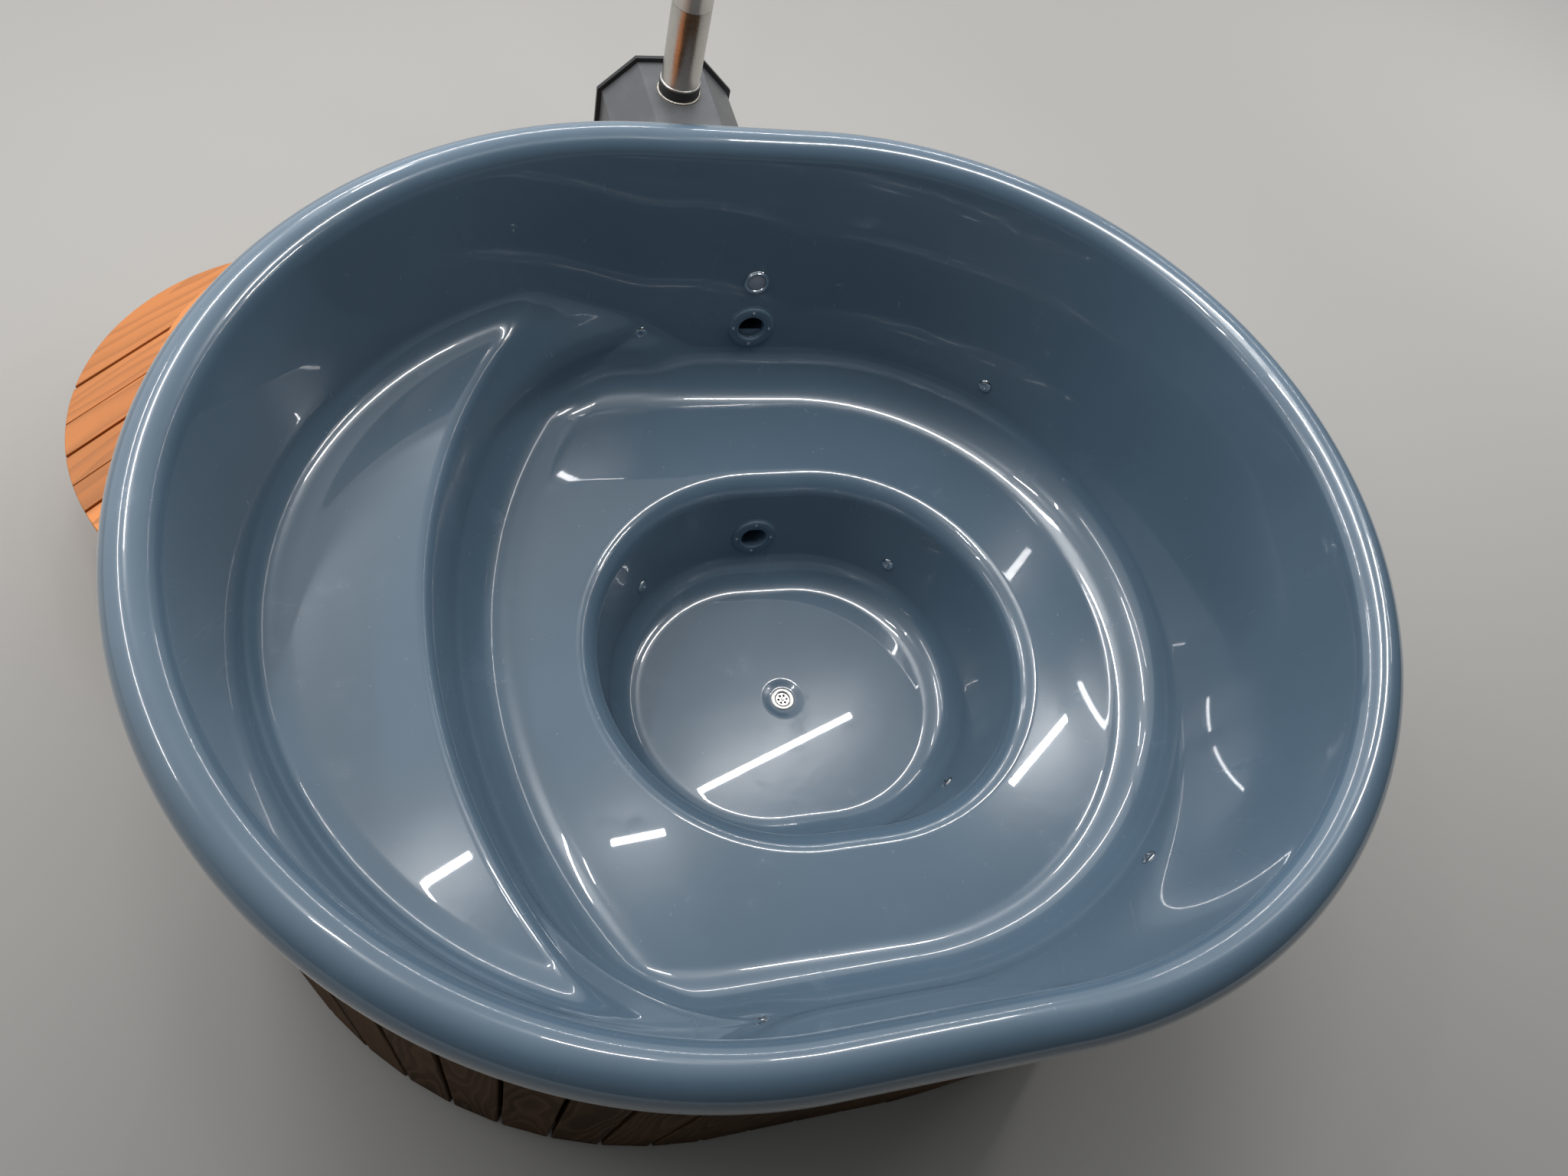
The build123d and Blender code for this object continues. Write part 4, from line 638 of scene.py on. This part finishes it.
class TUB_OT_liner(bpy.types.Operator):
    """Makes the moulded liner: rolled rim, crescent bench, seat ledge and foot well"""

    bl_idname = "tub.liner"
    bl_label = "Moulded liner"

    def execute(self, context):
        s = tub_sizes()
        cavity = Cavity(s)
        inside = liner_rows(cavity, s.columns, s.rows)
        rim = rim_rows(cavity, inside[:, :, -1], 0.0, 44)
        sheet = np.concatenate([inside] + [row[:, :, None] for row in rim], axis=2)
        points = sheet.transpose(1, 2, 0).reshape(-1, 3)
        faces = leave_holes(points, grid_faces(s.columns, sheet.shape[2]), port_places(), PORT_HOLE)
        new_piece("liner_shell", points, faces, "liner", 180.0)
        columns = s.columns // 4
        back = liner_rows(cavity, columns, s.rows // 4)
        top = back[:, :, -1]
        tangent_down = np.gradient(back, axis=2)
        tangent_round = np.roll(back, -1, axis=1) - np.roll(back, 1, axis=1)
        outward = np.cross(tangent_down, tangent_round, axis=0)
        outward /= np.linalg.norm(outward, axis=0)
        outward *= np.sign((outward[:2, :, -2] * top[:2]).sum())
        underside = [row[:, :, None] for row in rim_rows(cavity, top, s.liner_wall, 14)]
        back = np.concatenate([back + outward * s.liner_wall] + underside, axis=2)
        points = back.transpose(1, 2, 0).reshape(-1, 3)
        faces = leave_holes(points, grid_faces(columns, back.shape[2], True), port_places(), PORT_HOLE)
        new_piece("liner_back", points, faces, "liner", 180.0)
        return {"FINISHED"}


def turned(name, profile, places, node, segments=96, closed=False, smooth_angle=35.0, replaces=True):
    """Turned pieces: an outline in (radius, height) about the Z axis of each place."""
    points, faces = [], []
    count = len(profile)
    for place in places:
        start = len(points)
        for i in range(segments):
            turn = 2.0 * math.pi * i / segments
            for radius, height in profile:
                points.append(place @ Vector((radius * math.cos(turn), radius * math.sin(turn), height)))
        for i in range(segments):
            nearby = (i + 1) % segments
            for j in range(count if closed else count - 1):
                a, b = start + i * count, start + nearby * count
                k = (j + 1) % count
                faces.append((a + j, b + j, b + k, a + k))
    return new_piece(name, points, faces, node, smooth_angle, replaces)


def place_on(origin, normal, up=(0.0, 0.0, 1.0)):
    """A place with its Z axis along a normal."""
    z_axis = Vector(normal).normalized()
    x_axis = Vector(up).cross(z_axis)
    if x_axis.length < 1e-6:
        x_axis = Vector((1.0, 0.0, 0.0))
    x_axis.normalize()
    y_axis = z_axis.cross(x_axis)
    rotation = Matrix((x_axis, y_axis, z_axis)).transposed().to_4x4()
    return Matrix.Translation(origin) @ rotation


def wall_place(radius, middle, turn, height, slope, lift):
    """A fitting's place on a sloping wall, facing into the tub."""
    out = Vector((math.cos(math.radians(turn)), math.sin(math.radians(turn)), 0.0))
    normal = -out * math.cos(slope) + Vector((0.0, 0.0, math.sin(slope)))
    return place_on(Vector((middle, 0.0, height)) + out * radius + normal * lift, normal)


PORT_PLACE = 0.097
UPPER_PORT_HEIGHT = 0.582
LOWER_PORT_HEIGHT = 0.239
PORT_PAD = 0.0016
WALL_INSET = 0.0005  # of the lower mould inside the upper one, where the upper fittings sit
PORT_HOLE = 0.056  # faces of the liner this near to a port are left out, under its pad
LAMP_PLACE = 0.090
LAMP_HEIGHT = 0.715
NOZZLE_RADIUS = 0.0175
WALL_NOZZLE_HEIGHT = 0.565
WALL_NOZZLE_PLACE = -0.180
WALL_NOZZLE_TURN = 51
WELL_NOZZLE_HEIGHT = 0.220
WELL_NOZZLE_TURNS = (50, 134, -134, -50)
JET_CIRCLE = 0.0114  # radius of the ring of jets in a nozzle
SCREW_CIRCLE = 0.046  # radius of the ring of screws in a port


def port_places():
    """Places of the two water ports."""
    s = tub_sizes()
    cavity = Cavity(s)
    upper = (cavity.wall_radius(UPPER_PORT_HEIGHT), UPPER_PORT_HEIGHT, s.wall_slope, PORT_PAD - WALL_INSET)
    lower = (cavity.well_wall_radius(LOWER_PORT_HEIGHT), LOWER_PORT_HEIGHT, s.well_slope, PORT_PAD)
    return [wall_place(radius, PORT_PLACE, 90, *rest) for radius, *rest in (upper, lower)]


def nozzle_places():
    """Places of the air nozzles on both walls."""
    s = tub_sizes()
    cavity = Cavity(s)
    places = []
    radius = cavity.wall_radius(WALL_NOZZLE_HEIGHT) - WALL_INSET
    lift = NOZZLE_RADIUS**2 / (2 * radius)
    for side in (1, -1):
        for middle, turn in ((s.half_straight, side * WALL_NOZZLE_TURN), (WALL_NOZZLE_PLACE, side * 90)):
            places.append(wall_place(radius, middle, turn, WALL_NOZZLE_HEIGHT, s.wall_slope, lift))
    radius = cavity.well_wall_radius(WELL_NOZZLE_HEIGHT)
    lift = NOZZLE_RADIUS**2 / (2 * radius)
    for turn in WELL_NOZZLE_TURNS:
        middle = s.well_place + math.copysign(s.well_straight, 90 - abs(turn))
        places.append(wall_place(radius, middle, turn, WELL_NOZZLE_HEIGHT, s.well_slope, lift))
    return places


def millimetres(*pairs):
    """An outline given in millimetres."""
    return [(radius * MM, height * MM) for radius, height in pairs]


class TUB_OT_ports(bpy.types.Operator):
    """Makes the water ports with their screws, and finishes the nuts behind the wall"""

    bl_idname = "tub.ports"
    bl_label = "Water ports"

    def execute(self, context):
        flange = millimetres(
            (32.8, -62), (36.5, -62), (36.5, 0), (58, 0), (58, 2.4), (57.4, 3.6), (56.0, 4.8), (54.4, 5.6),
            (52.5, 6), (41.0, 6), (40.2, 5.2), (39.4, 5.2), (38.6, 6), (35.2, 6), (33.6, 5.3), (32.8, 4),
        )
        for name, place in zip(("upper_port_flange", "lower_port_flange"), port_places()):
            turned(name + "_ring", flange, [place], name, 128, True)
        pad = millimetres((62, -3), (62, -0.9), (61.2, -0.2), (60, 0), (36.8, 0), (36.8, -3))
        turned("port_pads", pad, port_places(), "liner", 128, replaces=False)
        heads = []
        for place in port_places():
            for quarter in range(4):
                turn = math.radians(90 * quarter)
                across, up = SCREW_CIRCLE * math.cos(turn), SCREW_CIRCLE * math.sin(turn)
                heads.append(place @ Matrix.Translation((across, up, 0.006)))
        head = millimetres(
            (0, 0.9), (1.2, 0.9), (1.3, 1.8), (2.4, 1.7), (3.6, 1.2), (4.4, 0.5), (4.6, 0), (2.2, -0.2),
            (2.2, -5),
        )
        turned("port_screw_heads", head, heads, "port_screws", 24)
        dress("port_nuts")
        return {"FINISHED"}


class TUB_OT_lamp(bpy.types.Operator):
    """Makes the underwater lamp's bezel and lens, and finishes its body"""

    bl_idname = "tub.lamp"
    bl_label = "Underwater lamp"

    def execute(self, context):
        s = tub_sizes()
        radius = Cavity(s).wall_radius(LAMP_HEIGHT) - WALL_INSET
        place = wall_place(radius, LAMP_PLACE, 90, LAMP_HEIGHT, s.wall_slope, 0.0)
        bezel = millimetres(
            (22.3, 0.2), (31.4, 0.2), (31.5, 2.0), (31.2, 3.2), (30.4, 3.9), (29.4, 4.0), (28.8, 3.4),
            (28.2, 2.4), (27.4, 2.4), (26.8, 3.6), (26.0, 4.8), (24.8, 5.0), (23.6, 4.6), (22.8, 3.2),
            (22.3, 2.2),
        )
        turned("lamp_bezel_ring", bezel, [place], "lamp_bezel", 96, True)
        lens = [(22.0 * MM, 0.4 * MM), (22.0 * MM, 1.6 * MM)]
        for i in range(10, -1, -1):
            share = i / 10
            rib = 0.12 if i % 2 else 0.0
            lens.append((21.6 * share * MM, (4.3 - 2.0 * share * share - rib) * MM))
        turned("lamp_lens_dome", lens, [place], "lamp_lens", 96, False, 20.0)
        dress("lamp_body", "lamp_nut")
        return {"FINISHED"}


class TUB_OT_nozzles(bpy.types.Operator):
    """Makes the air nozzles' chrome caps, and finishes their bodies"""

    bl_idname = "tub.nozzles"
    bl_label = "Air nozzles"

    def execute(self, context):
        cap = millimetres(
            (0, 3.2), (1.0, 3.1), (1.9, 2.2), (3.0, 2.0), (4.4, 2.6), (5.6, 3.9), (7.4, 4.7), (9.6, 4.9),
            (12.0, 4.5), (14.6, 3.5), (16.6, 2.1), (17.4, 1.0), (17.5, 0.0),
        )
        places = nozzle_places()
        turned("nozzle_rings", cap, places, "nozzle_caps", 48)
        slots = []
        for place in places:
            for i in range(8):
                turn = math.radians(45 * i + 22.5)
                spot = Matrix.Translation((JET_CIRCLE * math.cos(turn), JET_CIRCLE * math.sin(turn), 0.0))
                slots.append(place @ spot)
        jet = millimetres((1.25, 4.0), (1.25, 4.95), (1.6, 5.0), (1.7, 4.4))
        turned("nozzle_jets", jet, slots, "nozzle_bodies", 12, True, replaces=False)
        dress("nozzle_bodies")
        return {"FINISHED"}


class TUB_OT_drain(bpy.types.Operator):
    """Makes the drain's flange and screw, and finishes its strainer, tail, pipe and valve"""

    bl_idname = "tub.drain"
    bl_label = "Drain"

    def execute(self, context):
        s = tub_sizes()
        place = Matrix.Translation((s.drain_place, 0.0, s.well_height - DISH_DEPTH))
        ring = millimetres(
            (15, -26), (21, -26), (21, 0), (30.5, 0), (30.5, 1.2), (30.0, 2.0), (29.0, 2.6), (27.6, 3.0),
            (22.4, 3.0), (20.4, 2.6), (19.0, 1.8), (18.0, 0.6), (18.0, -4), (15, -4),
        )
        turned("drain_ring", ring, [place], "drain_flange", 96, True)
        screw = millimetres(
            (0, -0.4), (1.0, -0.4), (1.1, 0.3), (2.6, 0.4), (3.8, 0.0), (4.5, -0.8), (4.5, -2), (2.2, -2),
            (2.2, -24),
        )
        turned("drain_screw_head", screw, [place], "drain_screw", 36)
        dress("drain_strainer", "drain_tail", "drain_pipe", "valve_body", "valve_ball", "valve_lever")
        return {"FINISHED"}


class Planks:
    """Gathers planks into one piece, each with its own place in a log for the grain."""

    def __init__(self, seed):
        self.points, self.faces, self.grain, self.tone = [], [], [], []
        self.random = random.Random(seed)

    def pick_log(self):
        """Luck of where in a log a plank is sawn, how it leans there, and its tone."""
        luck = self.random
        offset = Vector((luck.uniform(0.02, 0.07), luck.uniform(-0.04, 0.04), luck.uniform(-9.0, 9.0)))
        lean = Matrix.Rotation(luck.uniform(-0.05, 0.05), 3, "X")
        lean = lean @ Matrix.Rotation(luck.uniform(-0.05, 0.05), 3, "Y")
        return offset, lean, luck.random()

    def add(self, outline, bottom, top, place, log, along="z", middle=0.0):
        """Adds a plank: an outline in its own plane, raised from bottom to top, set by a place."""
        offset, lean, tone = log
        start, count = len(self.points), len(outline)
        for height in (bottom, top):
            for x, y in outline:
                self.points.append(place @ Vector((x, y, height)))
                own = Vector((x, y, height)) if along == "z" else Vector((height - bottom, y - middle, x))
                self.grain.append(lean @ own + offset)
                self.tone.append(tone)
        self.faces.append(tuple(range(start + count - 1, start - 1, -1)))
        self.faces.append(tuple(range(start + count, start + 2 * count)))
        for i in range(count):
            j = (i + 1) % count
            self.faces.append((start + i, start + j, start + count + j, start + count + i))

    def finish(self, name, node, bevel, replaces=True):
        """Makes the piece, with rounded edges."""
        piece = new_piece(name, self.points, self.faces, node, 35.0, False)
        grain = piece.data.attributes.new("grain", "FLOAT_VECTOR", "POINT")
        grain.data.foreach_set("vector", [part for own in self.grain for part in own])
        tone = piece.data.attributes.new("plank", "FLOAT", "POINT")
        tone.data.foreach_set("value", self.tone)
        edge = piece.modifiers.new("rounded_edges", "BEVEL")
        edge.width = bevel
        edge.segments = 2
        edge.limit_method = "ANGLE"
        edge.angle_limit = math.radians(40)
        edge.harden_normals = False
        if replaces:
            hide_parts(node)
        return piece


def rectangle(deep, half):
    """Outline of an upright board."""
    return [(-deep, -half), (deep, -half), (deep, half), (-deep, half)]


BOARD_COUNT = 64
BOARD_GAP = 0.008
BOARD_THICKNESS = 0.020


def board_places(radius):
    """Places of the upright boards round the oval, with X facing out, and the way that each faces."""
    s = tub_sizes()
    arc, straight = math.pi * radius, 2 * s.half_straight
    lap = 2 * (arc + straight)
    places = []
    for number in range(BOARD_COUNT):
        run = (number + 0.5) * lap / BOARD_COUNT
        if run < arc:
            facing, middle = -90 + 180 * run / arc, s.half_straight
        elif run < arc + straight:
            facing, middle = 90, s.half_straight - (run - arc)
        elif run < 2 * arc + straight:
            facing, middle = 90 + 180 * (run - arc - straight) / arc, -s.half_straight
        else:
            facing, middle = 270, -s.half_straight + (run - 2 * arc - straight)
        turn = math.radians(facing)
        spot = Matrix.Translation((middle + radius * math.cos(turn), radius * math.sin(turn), 0.0))
        places.append((facing, spot @ Matrix.Rotation(turn, 4, "Z")))
    return places, lap


class TUB_OT_cladding(bpy.types.Operator):
    """Makes the upright boards round the tub, and finishes those with pipe holes"""

    bl_idname = "tub.cladding"
    bl_label = "Boards"

    def execute(self, context):
        low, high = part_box("cladding_front")
        radius = abs(low.y) - BOARD_THICKNESS / 2
        places, lap = board_places(radius)
        width = lap / BOARD_COUNT - BOARD_GAP
        half, deep = width / 2, BOARD_THICKNESS / 2
        names = ("cladding_right_end", "cladding_left_end", "cladding_front")
        groups = {name: Planks(11 + number) for number, name in enumerate(names)}
        for facing, place in places:
            if facing == 90:
                continue  # the boards with pipe holes are dressed below
            if facing < 90:
                name = "cladding_right_end"
            elif facing < 270:
                name = "cladding_left_end"
            else:
                name = "cladding_front"
            groups[name].add(rectangle(deep, half), low.z, high.z, place, groups[name].pick_log())
        for name, planks in groups.items():
            planks.finish(name + "_boards", name, 0.003)
        dress("cladding_back", finish_name="back_board")
        return {"FINISHED"}


class TUB_OT_timber(bpy.types.Operator):
    """Finishes the timber frame behind the boards"""

    bl_idname = "tub.timber"
    bl_label = "Timber frame"

    def execute(self, context):
        dress("studs", "seat_props", "step_formers")
        dress("upper_ring", "lower_ring", "base_bearers", finish_name="level_timber")
        return {"FINISHED"}


class TUB_OT_heater(bpy.types.Operator):
    """Finishes the heater's jacket, plates, firebox and legs"""

    bl_idname = "tub.heater"
    bl_label = "Heater"

    def execute(self, context):
        dress(
            "heater_shell", "heater_tub_plate", "heater_spigots", "heater_front_plate", "firebox",
            "firebox_grate", "heater_leg_tub_end", "heater_leg_door_end",
        )
        return {"FINISHED"}


class TUB_OT_chimney(bpy.types.Operator):
    """Makes the collar, weld bead and flue pipes, and finishes the rain cap"""

    bl_idname = "tub.chimney"
    bl_label = "Chimney"

    def execute(self, context):
        low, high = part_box("upper_flue")
        middle = Matrix.Translation(((low.x + high.x) / 2, (low.y + high.y) / 2, 0.0))
        pipe = millimetres((54, 835.4), (55.2, 835.2), (55.5, 836), (55.5, 1834.6), (55.2, 1835), (54, 1835))
        turned("upper_flue_pipe", pipe, [middle], "upper_flue", 128, True)
        lower = millimetres(
            (54, 560), (55.5, 560), (55.5, 595), (58.0, 595.3), (59.0, 596.6), (59.2, 598), (58.6, 599.8),
            (57.2, 601), (55.5, 601.4), (55.5, 834), (55.3, 834.6), (53.7, 835), (53.7, 885), (52.2, 885),
            (52.2, 832), (54, 832),
        )
        turned("lower_flue_pipe", lower, [middle], "lower_flue", 128, True)
        collar = millimetres((56, 508), (59, 508), (59, 594), (58.4, 594.8), (56, 595))
        turned("flue_collar_ring", collar, [middle], "flue_collar", 128, True)
        self.weld(middle)
        dress("rain_cap")
        return {"FINISHED"}

    def weld(self, middle):
        """A rippled bead laid round the collar's foot."""
        points = []
        segments, around, ripples = 420, 9, 70
        root_radius, foot, width, rise = 59.3, 560.0, 4.6, 4.8
        luck = random.Random(5)
        unevenness = [luck.uniform(-0.15, 0.15) for _ in range(ripples)]
        for i in range(segments):
            turn = 2 * math.pi * i / segments
            wave = (i * ripples / segments) % 1.0
            bulge = 1.0 + 0.16 * (1 - (2 * wave - 1) ** 2) + unevenness[i * ripples // segments] * 0.5
            for j in range(around):
                lean = math.radians(-10 + 110 * j / (around - 1))
                reach = root_radius + width * bulge * math.cos(lean)
                height = foot + rise * bulge * math.sin(lean) * (1.0 if j else 0.0)
                own = Vector((reach * math.cos(turn), reach * math.sin(turn), height))
                points.append(middle @ (own * MM))
        new_piece("flue_weld_bead", points, grid_faces(segments, around), "flue_weld", 60.0)


class TUB_OT_fire_door(bpy.types.Operator):
    """Finishes the fire door, its latch, hinges, seal and air slide"""

    bl_idname = "tub.fire_door"
    bl_label = "Fire door"

    def execute(self, context):
        dress(
            "door_seal", "fire_door", "door_rails", "air_slide", "door_latch", "door_catch", "hinge_lugs",
            "hinge_pins",
        )
        return {"FINISHED"}


class TUB_OT_hoses(bpy.types.Operator):
    """Finishes the hoses between the tub and the heater, and their clamps"""

    bl_idname = "tub.hoses"
    bl_label = "Hoses"

    def execute(self, context):
        dress("upper_hose", "lower_hose", "hose_clamps")
        return {"FINISHED"}


STEP_TURN = math.radians(44)
STEP_BACK = 0.960
PLANK_THICKNESS = 0.028
PLANK_PITCH = 0.143
PLANK_GAP = 0.006
FRONT_PLANK = 0.104
GROOVE = 0.0014  # fine groove along the middle of a wide plank
SLAT_WIDTH = 0.084
SLAT_GAP = 0.006
SLAT_THICKNESS = 0.020
TREAD_OVERHANG = 0.008
# of each tier: top height, radius, distance of the round's centre from the tub's, and the slats' foot
STEP_TIERS = {"lower": (0.300, 0.555, 1.069, 0.0), "upper": (0.585, 0.410, 0.914, 0.300)}


def half_round(radius, centre, near, far):
    """Outline of a plank cut from a half-round sheet, between two distances from the tub."""
    def reach(v):
        return radius if v < centre else math.sqrt(max(radius**2 - (v - centre) ** 2, 0.0))

    steps = 24
    distances = [near + (far - near) * i / steps for i in range(steps + 1)]
    side = [(reach(distance), distance) for distance in distances]
    if far >= centre + radius - 1e-6:
        start = math.asin(max(min((near - centre) / radius, 1.0), -1.0))
        turns = [start + (math.pi / 2 - start) * i / steps for i in range(steps + 1)]
        side = [(radius * math.cos(turn), centre + radius * math.sin(turn)) for turn in turns]
        if near < centre:
            side = [(radius, near)] + [point for point in side if point[1] > near]
    other = [(-u, v) for u, v in reversed(side) if u > 1e-6]
    return side + other


class TUB_OT_step(bpy.types.Operator):
    """Makes the step's planks and its upright slats"""

    bl_idname = "tub.step"
    bl_label = "Step"

    def execute(self, context):
        s = tub_sizes()
        base = Matrix.Translation((-s.half_straight, 0.0, 0.0)) @ Matrix.Rotation(STEP_TURN, 4, "Z")
        for number, (name, (height, radius, centre, foot)) in enumerate(STEP_TIERS.items()):
            planks = Planks(31 + number)
            far = centre + radius
            near = far - FRONT_PLANK + PLANK_GAP / 2
            while far > STEP_BACK + PLANK_GAP:
                near, middle, log = max(near, STEP_BACK), (near + far) / 2, planks.pick_log()
                halves = [(near, far)]
                if middle > STEP_BACK + GROOVE and far - near > FRONT_PLANK:
                    halves = [(near, middle - GROOVE / 2), (middle + GROOVE / 2, far)]
                for start, end in halves:
                    outline = half_round(radius, centre, start, end)
                    planks.add(outline, height - PLANK_THICKNESS, height, base, log, "x", middle)
                far = near - PLANK_GAP
                near = max(far + PLANK_GAP - PLANK_PITCH, STEP_BACK)
            planks.finish(name + "_tread_planks", name + "_tread", 0.0025)
        self.slats(base, "lower_slats", 0.0, STEP_TIERS["lower"], 41)
        self.slats(base, "upper_slats", STEP_TIERS["upper"][3], STEP_TIERS["upper"], 42)
        return {"FINISHED"}

    def slats(self, base, node, bottom, tier, seed):
        """Upright slats round a tier's curved front and down its straight sides."""
        height, radius, centre, _ = tier
        face = radius - TREAD_OVERHANG - SLAT_THICKNESS / 2
        start = math.asin(max(STEP_BACK - centre, 0) / face)
        sides = max(centre - STEP_BACK, 0)
        run = face * (math.pi - 2 * start) + 2 * sides
        count = int(run / (SLAT_WIDTH + SLAT_GAP))
        pitch = run / count
        half, deep = (pitch - SLAT_GAP) / 2, SLAT_THICKNESS / 2
        planks = Planks(seed)
        for number in range(count):
            along = (number + 0.5) * pitch - sides
            if along < 0:
                across, out, turn = face, centre + along, 0.0
            elif along > run - 2 * sides:
                across, out, turn = -face, centre - (along - run + 2 * sides), math.pi
            else:
                turn = start + along / face
                across, out = face * math.cos(turn), centre + face * math.sin(turn)
            spot = base @ Matrix.Translation((across, out, 0.0)) @ Matrix.Rotation(turn, 4, "Z")
            planks.add(rectangle(deep, half), bottom, height - PLANK_THICKNESS, spot, planks.pick_log())
        planks.finish(node + "_boards", node, 0.0025)


def lamp_sheet(name, place, target, width, length, power):
    """A soft lamp that faces a target."""
    light = bpy.data.lights.new(name, "AREA")
    light.shape = "RECTANGLE"
    light.size = width
    light.size_y = length
    light.energy = power
    lamp = bpy.data.objects.new(name, light)
    lamp.location = place
    lamp.rotation_euler = (Vector(target) - Vector(place)).to_track_quat("-Z", "Y").to_euler()
    bpy.context.scene.collection.objects.link(lamp)
    return lamp


# The camera stands where the photograph's did, worked out from the tub's edges in it.
CAMERA_PLACE = (-0.6562, -1.0466, 2.6400)
CAMERA_RIGHT = (0.956933, -0.192247, 0.217533)
CAMERA_UP = (0.063518, 0.869809, 0.489283)
CAMERA_BACK = (-0.283275, -0.454394, 0.84456)
CAMERA_LENS = 25.59
FLOOR_REACH = 30.0
CEILING = 3.2
LAMP_WIDTH = 0.03
# Strip lamps under the ceiling: both ends and the power
CEILING_LAMPS = (
    ((-1.770, 1.284), (-1.347, 2.715), 30.0),
    ((-0.901, 0.154), (-0.661, 0.275), 4.6),
    ((-0.724, 2.516), (-0.581, 2.784), 5.4),
    ((-0.047, 0.394), (0.200, 0.412), 3.4),
    ((0.515, 0.791), (1.460, 1.136), 16.0),
    ((1.980, 0.433), (2.598, 0.895), 14.0),
    ((3.100, 0.400), (3.100, 3.400), 12.0),
    ((-1.500, 3.500), (2.600, 3.500), 52.0),
    ((-2.700, 0.000), (-2.700, 3.000), 25.0),
)
# Soft square lamps that give no reflections: place, target, side and power
SOFT_LAMPS = (
    ((-0.7, 1.5, 4.6), (-0.2, 0.5, 0.0), 3.0, 34.0),
    ((-4.4, 1.4, 2.8), (-3.0, 1.0, 0.0), 2.2, 30.0),
    ((4.4, 1.8, 2.8), (3.0, 1.4, 0.0), 2.2, 46.0),
)
SOFT_LIGHT = 1.15  # how bright the room is on its light side
SOFT_LIGHT_FROM = (-0.15, 1.1)
DIM_LIGHT = 0.03
BACKDROP = 0.62  # how bright the room's far side looks
WINDOW_SIDE = (-0.42, 0.80, 0.42)  # the side of the room that the soft daylight comes from


class TUB_OT_stage(bpy.types.Operator):
    """Makes the floor, the lamps and the camera"""

    bl_idname = "tub.stage"
    bl_label = "Stage"

    def daylight(self, scene):
        """Soft light that is strongest from one side of the room."""
        scene.world = bpy.data.worlds.new("studio")
        room = Shading(scene.world, "ShaderNodeBackground", "ShaderNodeOutputWorld")
        way = room.node("ShaderNodeTexCoord", output=0)
        facing = room.vector("DOT_PRODUCT", {0: way, 1: WINDOW_SIDE}, output=1)
        room.feed(room.shader.inputs["Color"], (0.81, 0.84, 0.87))
        seen = room.node("ShaderNodeLightPath", output=0)
        light = room.step(facing, *SOFT_LIGHT_FROM) * SOFT_LIGHT + DIM_LIGHT
        room.feed(room.shader.inputs["Strength"], light * (1.0 - seen) + seen * BACKDROP)

    def execute(self, context):
        scene = context.scene
        scene.view_settings.view_transform = "Standard"
        floor_mesh = bpy.data.meshes.new("floor")
        corners = [(x * FLOOR_REACH, y * FLOOR_REACH, 0.0) for x, y in ((-1, -1), (1, -1), (1, 1), (-1, 1))]
        floor_mesh.from_pydata(corners, [], [(0, 1, 2, 3)])
        floor = bpy.data.objects.new("floor", floor_mesh)
        floor.location.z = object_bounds()[0].z
        scene.collection.objects.link(floor)
        floor_mesh.materials.append(floor_finish("floor", scene.tub_colours.floor))
        floor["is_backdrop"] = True
        self.daylight(scene)
        for number, (place, target, reach, power) in enumerate(SOFT_LAMPS):
            soft = lamp_sheet(f"soft_lamp_{number}", place, target, reach, reach, power)
            soft.visible_glossy = False
        for number, (start, end, power) in enumerate(CEILING_LAMPS):
            start, end = Vector((*start, CEILING)), Vector((*end, CEILING))
            middle, run = (start + end) / 2, end - start
            name, target = f"ceiling_lamp_{number}", (*middle.xy, 0.0)
            lamp = lamp_sheet(name, middle, target, run.length, LAMP_WIDTH, power)
            lamp.rotation_euler = (0.0, 0.0, math.atan2(run.y, run.x))
        camera_data = bpy.data.cameras.new("photo_view")
        camera_data.sensor_width = 36.0
        camera_data.lens = CAMERA_LENS
        camera_data.clip_end = 100.0
        camera = bpy.data.objects.new("photo_view", camera_data)
        turned_to = Matrix((CAMERA_RIGHT, CAMERA_UP, CAMERA_BACK)).transposed().to_4x4()
        camera.matrix_world = Matrix.Translation(CAMERA_PLACE) @ turned_to
        scene.collection.objects.link(camera)
        scene.camera = camera
        return {"FINISHED"}


PIECE_OPERATORS = (
    TUB_OT_liner, TUB_OT_ports, TUB_OT_lamp, TUB_OT_nozzles, TUB_OT_drain, TUB_OT_cladding, TUB_OT_timber,
    TUB_OT_heater, TUB_OT_chimney, TUB_OT_fire_door, TUB_OT_hoses, TUB_OT_step, TUB_OT_stage,
)


class TUB_PT_panel(bpy.types.Panel):
    """Lists the pieces, sizes and colours"""

    bl_idname = "TUB_PT_panel"
    bl_label = "Oval hot tub"
    bl_space_type = "VIEW_3D"
    bl_region_type = "UI"
    bl_category = "Hot tub"

    def draw(self, context):
        for operator in PIECE_OPERATORS:
            self.layout.operator(operator.bl_idname)
        for group in (context.scene.tub_sizes, context.scene.tub_colours):
            for name in group.__annotations__:
                self.layout.prop(group, name)


def register():
    for group in (TubSizes, TubColours, *PIECE_OPERATORS, TUB_PT_panel):
        bpy.utils.register_class(group)
    bpy.types.Scene.tub_sizes = PointerProperty(type=TubSizes)
    bpy.types.Scene.tub_colours = PointerProperty(type=TubColours)


def unregister():
    del bpy.types.Scene.tub_colours
    del bpy.types.Scene.tub_sizes
    for group in reversed((TubSizes, TubColours, *PIECE_OPERATORS, TUB_PT_panel)):
        bpy.utils.unregister_class(group)


def main():
    """Makes every piece in order."""
    register()
    for operator in PIECE_OPERATORS:
        family, name = operator.bl_idname.split(".")
        getattr(getattr(bpy.ops, family), name)()


if __name__ == "__main__":
    main()
